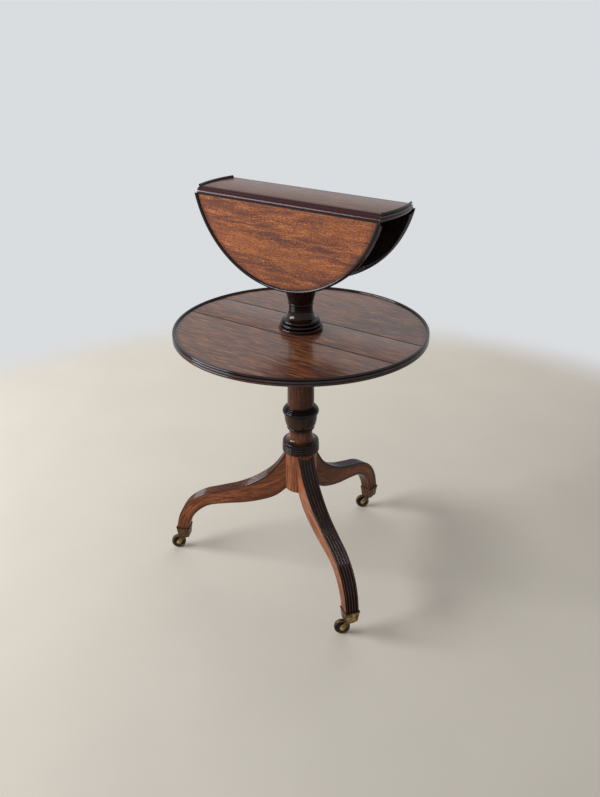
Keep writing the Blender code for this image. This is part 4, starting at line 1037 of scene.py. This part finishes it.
def smooth_path(points, steps):
    """A smooth curve through points: each span blends its four nearest points by cubic weights."""
    padded = np.concatenate([points[:1], points, points[-1:]])
    t = np.linspace(0.0, 1.0, steps, endpoint=False)[None, :, None]
    weights = (
        (-t ** 3 + 2 * t ** 2 - t) / 2, (3 * t ** 3 - 5 * t ** 2 + 2) / 2,
        (-3 * t ** 3 + 4 * t ** 2 + t) / 2, (t ** 3 - t ** 2) / 2,
    )
    count = len(points) - 1
    groups = [padded[i:i + count, None, :] for i in range(4)]
    path = sum(w * g for w, g in zip(weights, groups)).reshape(-1, 2)
    return np.concatenate([path, points[-1:]])


def leg_path(shares, root, foot, tip):
    """The path of a leg's top or underside: its shares from root to foot, then its tip in the cap."""
    x = LEG_ROOT + (foot - LEG_ROOT) * shares[:, 0]
    z = CAP_TOP + (root - CAP_TOP) * shares[:, 1]
    return np.concatenate([smooth_path(np.column_stack([x, z]), 8), line((tip, CAP_LOW + CAP_FLOOR + GAP))])


def leg_points(sizes):
    """A leg: a section of five reeds over flat sides, carried from the block to the castor cap.

    Each section stands on the line between the path of the leg's top and the path of its underside.
    """
    tip = CAP_LOW_HALF - CAP_WALL - GAP
    tops = leg_path(TOP_SHARES, BLOCK_TOP - GAP, FOOT_RADIUS + FOOT_WIDTH / 2, FOOT_RADIUS + tip)
    unders = leg_path(UNDER_SHARES, BLOCK_LOW + 0.0002, FOOT_RADIUS - FOOT_WIDTH / 2, FOOT_RADIUS - tip)
    count = len(tops)
    run = np.linspace(0.0, 1.0, count - 1)
    half = np.append((sizes.leg_width + (FOOT_WIDTH - sizes.leg_width) * run) / 2, tip)[:, None]
    depth = np.append(np.full(len(run), sizes.reed_depth), 0.0)[:, None]

    fine = 8
    place = np.linspace(-1.0, 1.0, LEG_REEDS * fine + 1)
    sink = 1.0 - np.sin(math.pi * (np.arange(LEG_REEDS * fine + 1) % fine) / fine)
    round_angle = np.radians(np.linspace(0.0, 90.0, 5))
    up = tops - unders
    size = np.linalg.norm(up, axis=1, keepdims=True)
    up = up / size
    h_top = size - depth * sink
    y_side = np.broadcast_to(half, (count, 3))
    h_side = np.maximum(size - depth, LEG_CORNER) * np.array([0.9, 0.6, 0.3])
    y_bend = half - LEG_CORNER + LEG_CORNER * np.cos(round_angle)
    h_bend = np.broadcast_to(LEG_CORNER - LEG_CORNER * np.sin(round_angle), (count, 5))
    y = np.concatenate([half * place, y_side, y_bend, -y_bend[:, ::-1], -y_side[:, ::-1]], 1)
    h = np.concatenate([h_top, h_side, h_bend, h_bend[:, ::-1], h_side[:, ::-1]], 1)
    points = np.stack([unders[:, :1] + up[:, :1] * h, y, unders[:, 1:] + up[:, 1:] * h], -1)

    centre = (tops + unders) / 2
    along = np.concatenate([[0.0], np.cumsum(np.linalg.norm(np.diff(centre, axis=0), axis=1))])[:, None]
    wood = np.stack([np.broadcast_to(along, y.shape), y, h], -1)
    # Lighter crowns on the reeds: wear and a painted highlight
    crowns = 1.10 - 0.75 * np.clip(1.0 - sink / 0.09, 0.0, 1.0)
    flanks = np.array([0.30, 0.16, 0.14])
    foot = 0.30 * np.clip((along / along[-1] - 0.80) / 0.14, 0.0, 1.0)
    dark = np.concatenate([crowns, flanks, np.full(10, 0.40), flanks[::-1]])
    return points, wood, np.broadcast_to(dark, y.shape) + foot * (dark < 0.2)


class MakeLegs(bpy.types.Operator):
    """Carve the three legs"""

    bl_idname = "dumbwaiter.legs"
    bl_label = "Legs"

    def execute(self, context):
        for seed, (name, angle) in enumerate(LEG_ANGLES.items()):
            points, wood, stain = leg_points(context.scene.table_sizes)
            # Painted light and shade: each leg's top and flanks made lighter or darker by its own tint
            stain = stain + np.where(stain > 0.46, *LEG_PAINTED_LIGHT_AND_SHADE[name])
            shape = Shape("leg_wood").grid(points, ends="face", wood=wood + 0.41 * seed, stain=stain)
            shape.moved(placed(turn=angle))
            shape.made(f"{name}_carved_leg", "stand", "mahogany", f"leg_{name}", sharp=50.0)
        return {"FINISHED"}


# Castors

def square_rows(profile):
    """A square with rounded corners carried up a profile of half widths and heights."""
    corner, fine = 0.0012, 5
    halves, heights = profile[:, :1], profile[:, 1:]
    quarter = np.linspace(0.0, math.pi / 2, fine)
    angle = np.concatenate([quarter + k * math.pi / 2 for k in range(4)])
    soft = np.minimum(corner, halves)
    x = (halves - soft) * np.repeat([1, -1, -1, 1], fine) + soft * np.cos(angle)
    y = (halves - soft) * np.repeat([1, 1, -1, -1], fine) + soft * np.sin(angle)
    return np.stack([x, y, np.broadcast_to(heights, x.shape)], -1)


def cap_shape():
    """The square cap: tapered outer wall with a rounded rim, hollow for the foot, and the stem below."""
    rim = CAP_HALF + RIM_PROUD
    rim_low = CAP_TOP - RIM_HEIGHT
    inside = CAP_LOW + CAP_FLOOR
    profile = line(
        (0.0, CAP_LOW), (CAP_LOW_HALF - 0.0006, CAP_LOW), (CAP_LOW_HALF, CAP_LOW + 0.0006),
        (CAP_LOW_HALF + CAP_SLOPE * 0.0015, CAP_LOW + 0.0015),
        (CAP_LOW_HALF + CAP_SLOPE * (rim_low - CAP_LOW), rim_low), (rim - 0.0003, rim_low + 0.0001),
        (rim, rim_low + 0.0005), (rim, CAP_TOP - 0.0005), (rim - 0.0005, CAP_TOP),
        (CAP_HALF - CAP_WALL, CAP_TOP),
        (CAP_LOW_HALF - CAP_WALL + CAP_SLOPE * CAP_FLOOR, inside), (0.0, inside),
    )
    rivet = CAP_LOW - GAP - HORN_PLATE - GAP
    stem = line(
        (0.0, rivet - 0.0015), (0.0036, rivet - 0.0015), (0.0042, rivet - 0.0009), (0.0042, rivet),
        (0.003, rivet), (0.003, CAP_LOW + 0.001), (0.0, CAP_LOW + 0.001),
    )
    return Shape("cap_brass").grid(square_rows(profile)).grid(turned(stem, 32))


def horn_shape():
    """The horn: a top plate over two arms that sweep back and down to the axle bosses."""
    top = CAP_LOW - GAP
    under = top - HORN_PLATE
    boss = arc((TRAIL, WHEEL_RADIUS), BOSS_RADIUS, -140.0, 50.0, 19)
    front = line((-HORN_FRONT, top), (-HORN_FRONT, under), (0.0, under - 0.003))
    outline = np.concatenate([front, boss, line((HORN_FRONT, top))])[::-1]
    # Grime and painted shade: the arms dark above the boss, under the cap
    dark = np.clip((outline[:, 1] - WHEEL_RADIUS - 0.003) / 0.002, 0.0, 1.0)
    shape = Shape("horn_brass")
    for low in (-HORN_HALF, HORN_HALF - HORN_ARM):
        arm = prism(outline, low, low + HORN_ARM)
        shape.grid(arm[..., [0, 2, 1]], ends="face", stain=np.stack([dark, dark]))
    # The top plate under the cap is dark all over: grime and painted shade
    plate = line((-HORN_FRONT, under), (HORN_FRONT + 0.001, under), (HORN_FRONT, top), (-HORN_FRONT, top))
    bridge = prism(plate, -HORN_HALF + 0.0004, HORN_HALF - 0.0004)
    return shape.grid(bridge[..., [0, 2, 1]], ends="face", stain=1.0)


def wheel_shape():
    """The wheel: a rounded tread, a dished web and a raised hub, swept round its axle, with its bore."""
    rim, web, hub, bore = 0.005, 0.0019, 0.006, 0.0024
    tread = arc((WHEEL_RADIUS - 0.0022, rim - 0.0022), 0.0022, 0.0, 90.0, 9)
    inner = WHEEL_RADIUS - 0.0042
    fall = np.linspace(1.0, 0.0, 9) ** 3
    dish = np.column_stack([np.linspace(inner, 0.0062, 9), web + (rim - 0.0006 - web) * fall])
    boss = arc((0.0042, hub - 0.001), 0.001, 0.0, 90.0, 5)
    half = np.concatenate([tread, line((inner + 0.0006, rim)), dish, boss, line((bore, hub))])
    profile = np.concatenate([half, (half * np.array([1.0, -1.0]))[::-1]])
    # Tread and hub stay bright; the dish between them is dark with grime and painted shade
    crowns = (profile[:, 0] > inner + 0.0004) | (profile[:, 0] < 0.0058)
    stain = np.where(crowns, 0.25, 1.0)[:, None]
    return Shape("wheel_brass").grid(turned(profile, 72), along=True, stain=stain)


def axle_shape():
    """The axle: a pin with a domed head outside each arm."""
    inner = HORN_HALF + GAP
    half = np.concatenate([line((0.002, inner)), swell(inner, 0.0014, 0.0036, 0.0, 9)])
    profile = np.concatenate([(half * np.array([1.0, -1.0]))[::-1], half])
    return Shape("hinge_brass").grid(turned(profile, 32))


class MakeCastors(bpy.types.Operator):
    """Build the brass castors"""

    bl_idname = "dumbwaiter.castors"
    bl_label = "Castors"

    def execute(self, context):
        quarter = math.pi / 2
        slope = math.atan2(CAP_HALF - CAP_LOW_HALF, CAP_TOP - CAP_LOW)
        lean = Matrix.Rotation(quarter - slope, 4, "Y").inverted()
        screw_spot = (CAP_HALF - CAP_SCREW_DROP * math.tan(slope), 0.0, CAP_TOP - CAP_SCREW_DROP)
        for name, angle in LEG_ANGLES.items():
            a = math.radians(angle)
            spot = (FOOT_RADIUS * math.cos(a), FOOT_RADIUS * math.sin(a), 0.0)
            socket = placed(*spot, turn=angle)
            swivel = placed(*spot, turn=TRAIL_ANGLE)
            axle = Matrix.Translation((TRAIL, 0.0, WHEEL_RADIUS)) @ Matrix.Rotation(quarter, 4, "X")
            spin = swivel @ axle
            screw = socket @ Matrix.Translation(screw_spot) @ lean
            label = f"castor_{name}"
            turning, rolling = f"{label}_swivel", f"{label}_wheel"
            cap_shape().moved(socket).made(f"{label}_socket", "stand", "brass", f"{label}_cap", sharp=40.0)
            horn_shape().moved(swivel).made(
                f"{label}_fork", turning, "brass", f"{label}_horn", sharp=30.0, bevel=0.0004
            )
            wheel_shape().moved(spin).made(f"{label}_roller", rolling, "brass", rolling)
            axle_shape().moved(spin).made(f"{label}_pin", turning, "brass", f"{label}_axle")
            head = Shape("hinge_brass").grid(screw_head(0.0006, 0.9)).moved(screw)
            head.made(f"{label}_screw_head", "stand", "brass", f"{label}_cap_screw")
        return {"FINISHED"}


# Pieces that stay as packed

class FinishSmallPieces(bpy.types.Operator):
    """Give the iron plate, its screws, the stops and the fixing screw their finish"""

    bl_idname = "dumbwaiter.small_pieces"
    bl_label = "Small pieces"

    def execute(self, context):
        finishes = {"leg_plate": "plate_iron", "upper_fixing_screw": "screw_steel"}
        finishes.update({f"leg_plate_{name}_screw": "screw_steel" for name in LEG_ANGLES})
        finishes.update({f"{tier}_bearer_stop": "peg_wood" for tier in BEARER_REACH})
        for node, finish in finishes.items():
            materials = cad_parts[node].data.materials
            if not materials:
                materials.append(None)
            for i in range(len(materials)):
                materials[i] = bpy.data.materials[finish]
        return {"FINISHED"}


class MixFinishes(bpy.types.Operator):
    """Mix the woods and metals"""

    bl_idname = "dumbwaiter.finishes"
    bl_label = "Finishes"

    def execute(self, context):
        lower, upper = (radius for _, radius, _, _, _ in tiers(context.scene.table_sizes))
        c = context.scene.table_colours
        deck = (c.deck_light, c.deck_mid, c.deck_dark)
        leaf = (c.leaf_light, c.leaf_mid, c.leaf_dark)
        deck_wood("lower_top_wood", deck, lower, c, 0.16, 0.9)
        deck_wood("lower_middle_wood", deck, lower, c, 0.16, 0.6, rounds=1.0)
        deck_wood("upper_middle_wood", deck, upper, c, 0.17, 0.30, rounds=1.0, aged=0.95)
        deck_wood("hanging_leaf_wood", leaf, upper, c, 0.26, flecked=0.85)
        stained_wood("under_wood", darker(c.under, 1.5), darker(c.under, 0.5), c, 0.40, 0.55)
        stained_wood("turned_wood", c.turned_light, c.turned_dark, c)
        stained_wood("leg_wood", c.leg_light, c.leg_dark, c, 0.18, 0.40, 0.75)
        stained_wood("edge_wood", c.edge_wear_and_highlight, c.edge, c, 0.16, 0.28, 1.7)
        stained_wood("peg_wood", c.turned_light, c.turned_dark, c, 0.3, 0.5)
        old_brass("cap_brass", c, 0.60, rim=CAP_TOP - RIM_HEIGHT, brown=1.0)
        old_brass("horn_brass", c, 0.30)
        old_brass("wheel_brass", c, 0.80)
        old_brass("hinge_brass", c, 0.35)
        dark_metal("plate_iron", c.iron, 0.45)
        dark_metal("screw_steel", c.steel, 0.30)
        return {"FINISHED"}


# Stage

def floor_finish(tone):
    """A plain floor that fades into the backdrop's colour with its distance from the table."""
    net = Net("pale_floor")
    place = net.place()
    cloud = net.noise(place, (4.0, 4.0, 4.0), 3.0)
    base = net.mix(net.between(cloud, 0.3, 0.7), darker(tone, 0.97), tone)
    net.finish(base, 0.75, Specular_IOR_Level=0.0)
    rim = net.between(net.size_of(place), FLOOR_FADE * 0.80, FLOOR_FADE)
    net.give_way(rim, net.node("ShaderNodeBsdfTransparent"))


def backdrop_finish(tone):
    """A world that lights softly, and shows the backdrop's colour to the view and in polished faces."""
    world = bpy.data.worlds.new("backdrop")
    net = Net(world=world)
    net.put(net.shader.inputs["Color"], (0.92, 0.96, 1.0))
    net.put(net.shader.inputs["Strength"], 0.34)
    shown = net.node("ShaderNodeLightPath", "Is Camera Ray")
    for ray in ("Is Transmission Ray", "Is Glossy Ray"):
        shown = net.maths("MAXIMUM", shown, net.node("ShaderNodeLightPath", ray))
    net.give_way(shown, net.node("ShaderNodeBackground", Color=tone, Strength=1.0))
    return world


def lay_floor():
    """A flat disc of rings under the table."""
    rings = np.linspace(0.0, FLOOR_RADIUS, 25)[:, None]
    angle = np.linspace(0.0, 2 * math.pi, 96, endpoint=False)
    disc = np.stack([rings * np.cos(angle), rings * np.sin(angle), np.zeros((25, 96))], -1)
    floor_finish(bpy.context.scene.table_colours.floor)
    floor = bpy.data.objects.new("floor", Shape("pale_floor").grid(disc).mesh("floor", 0.00001))
    bpy.context.scene.collection.objects.link(floor)


def area_light(name, spot, aim, size, power, tint, shows=True):
    """A soft lamp at a spot, facing a point, that polished faces mirror only where it shows."""
    data = bpy.data.lights.new(name, "AREA")
    data.shape = "RECTANGLE"
    data.size, data.size_y = size
    data.energy = power
    data.color = tint
    obj = bpy.data.objects.new(name, data)
    bpy.context.scene.collection.objects.link(obj)
    obj.location = spot
    obj.rotation_euler = (aim - spot).to_track_quat("-Z", "Y").to_euler()
    obj.visible_camera = False
    obj.visible_glossy = shows


class SetStage(bpy.types.Operator):
    """Lay the floor, and set the backdrop, lamps and camera"""

    bl_idname = "dumbwaiter.stage"
    bl_label = "Stage"

    def execute(self, context):
        scene = context.scene
        lay_floor()
        scene.world = backdrop_finish(scene.table_colours.backdrop)
        turn = math.radians(VIEW_TURN)
        ahead = Vector((-math.sin(turn), math.cos(turn), 0.0))
        right = Vector((math.cos(turn), math.sin(turn), 0.0))
        up = Vector((0.0, 0.0, 1.0))

        def spot(side, depth, height):
            """A place beside, behind and above the foot of the column, as the view sees it."""
            return Vector((COLUMN_X, COLUMN_Y, 0.0)) + right * side + ahead * depth + up * height

        aim = spot(0.0, 0.0, 0.5)
        area_light("window", spot(-2.9, -0.33, 1.78), aim, (2.3, 1.0), 124.0, (0.90, 0.95, 1.0))
        area_light("wall", spot(0.2, 2.4, 1.5), aim, (3.0, 1.4), 26.0, (0.97, 0.98, 1.0), False)

        data = bpy.data.cameras.new("camera")
        data.lens = FOCAL_PIXELS / PICTURE_HEIGHT * SENSOR
        data.sensor_width = SENSOR
        data.clip_start = 0.05
        camera = bpy.data.objects.new("camera", data)
        scene.collection.objects.link(camera)
        pitch = math.radians(VIEW_PITCH)
        forward = ahead * math.cos(pitch) - up * math.sin(pitch)
        above = ahead * math.sin(pitch) + up * math.cos(pitch)
        facing = Matrix((right, above, -forward)).transposed().to_4x4()
        camera.matrix_world = Matrix.Translation(spot(-0.0018, -1.6776, 1.24)) @ facing
        scene.camera = camera
        scene.view_settings.view_transform = "Standard"
        return {"FINISHED"}


OPERATORS = (
    MixFinishes, MakeBoards, MakeLeaves, MakeEdges, MakeHinges, MakeBearers, MakeColumns, MakeLegs,
    MakeCastors, FinishSmallPieces, SetStage,
)


class DumbwaiterPanel(bpy.types.Panel):
    """Builds the table piece by piece"""

    bl_idname = "VIEW3D_PT_dumbwaiter"
    bl_label = "Dumbwaiter table"
    bl_space_type = "VIEW_3D"
    bl_region_type = "UI"
    bl_category = "Dumbwaiter"

    def draw(self, context):
        for operator in OPERATORS:
            self.layout.operator(operator.bl_idname)
        for group in (context.scene.table_sizes, context.scene.table_colours):
            box = self.layout.box()
            for key in group.__annotations__:
                box.prop(group, key)


CLASSES = (TableSizes, TableColours, *OPERATORS, DumbwaiterPanel)


def register():
    for cls in CLASSES:
        bpy.utils.register_class(cls)
    bpy.types.Scene.table_sizes = PointerProperty(type=TableSizes)
    bpy.types.Scene.table_colours = PointerProperty(type=TableColours)


def unregister():
    del bpy.types.Scene.table_colours
    del bpy.types.Scene.table_sizes
    for cls in reversed(CLASSES):
        bpy.utils.unregister_class(cls)


def main():
    register()
    bpy.ops.dumbwaiter.finishes()
    bpy.ops.dumbwaiter.boards()
    bpy.ops.dumbwaiter.leaves()
    bpy.ops.dumbwaiter.edges()
    bpy.ops.dumbwaiter.hinges()
    bpy.ops.dumbwaiter.bearers()
    bpy.ops.dumbwaiter.columns()
    bpy.ops.dumbwaiter.legs()
    bpy.ops.dumbwaiter.castors()
    bpy.ops.dumbwaiter.small_pieces()
    bpy.ops.dumbwaiter.stage()


if __name__ == "__main__":
    main()
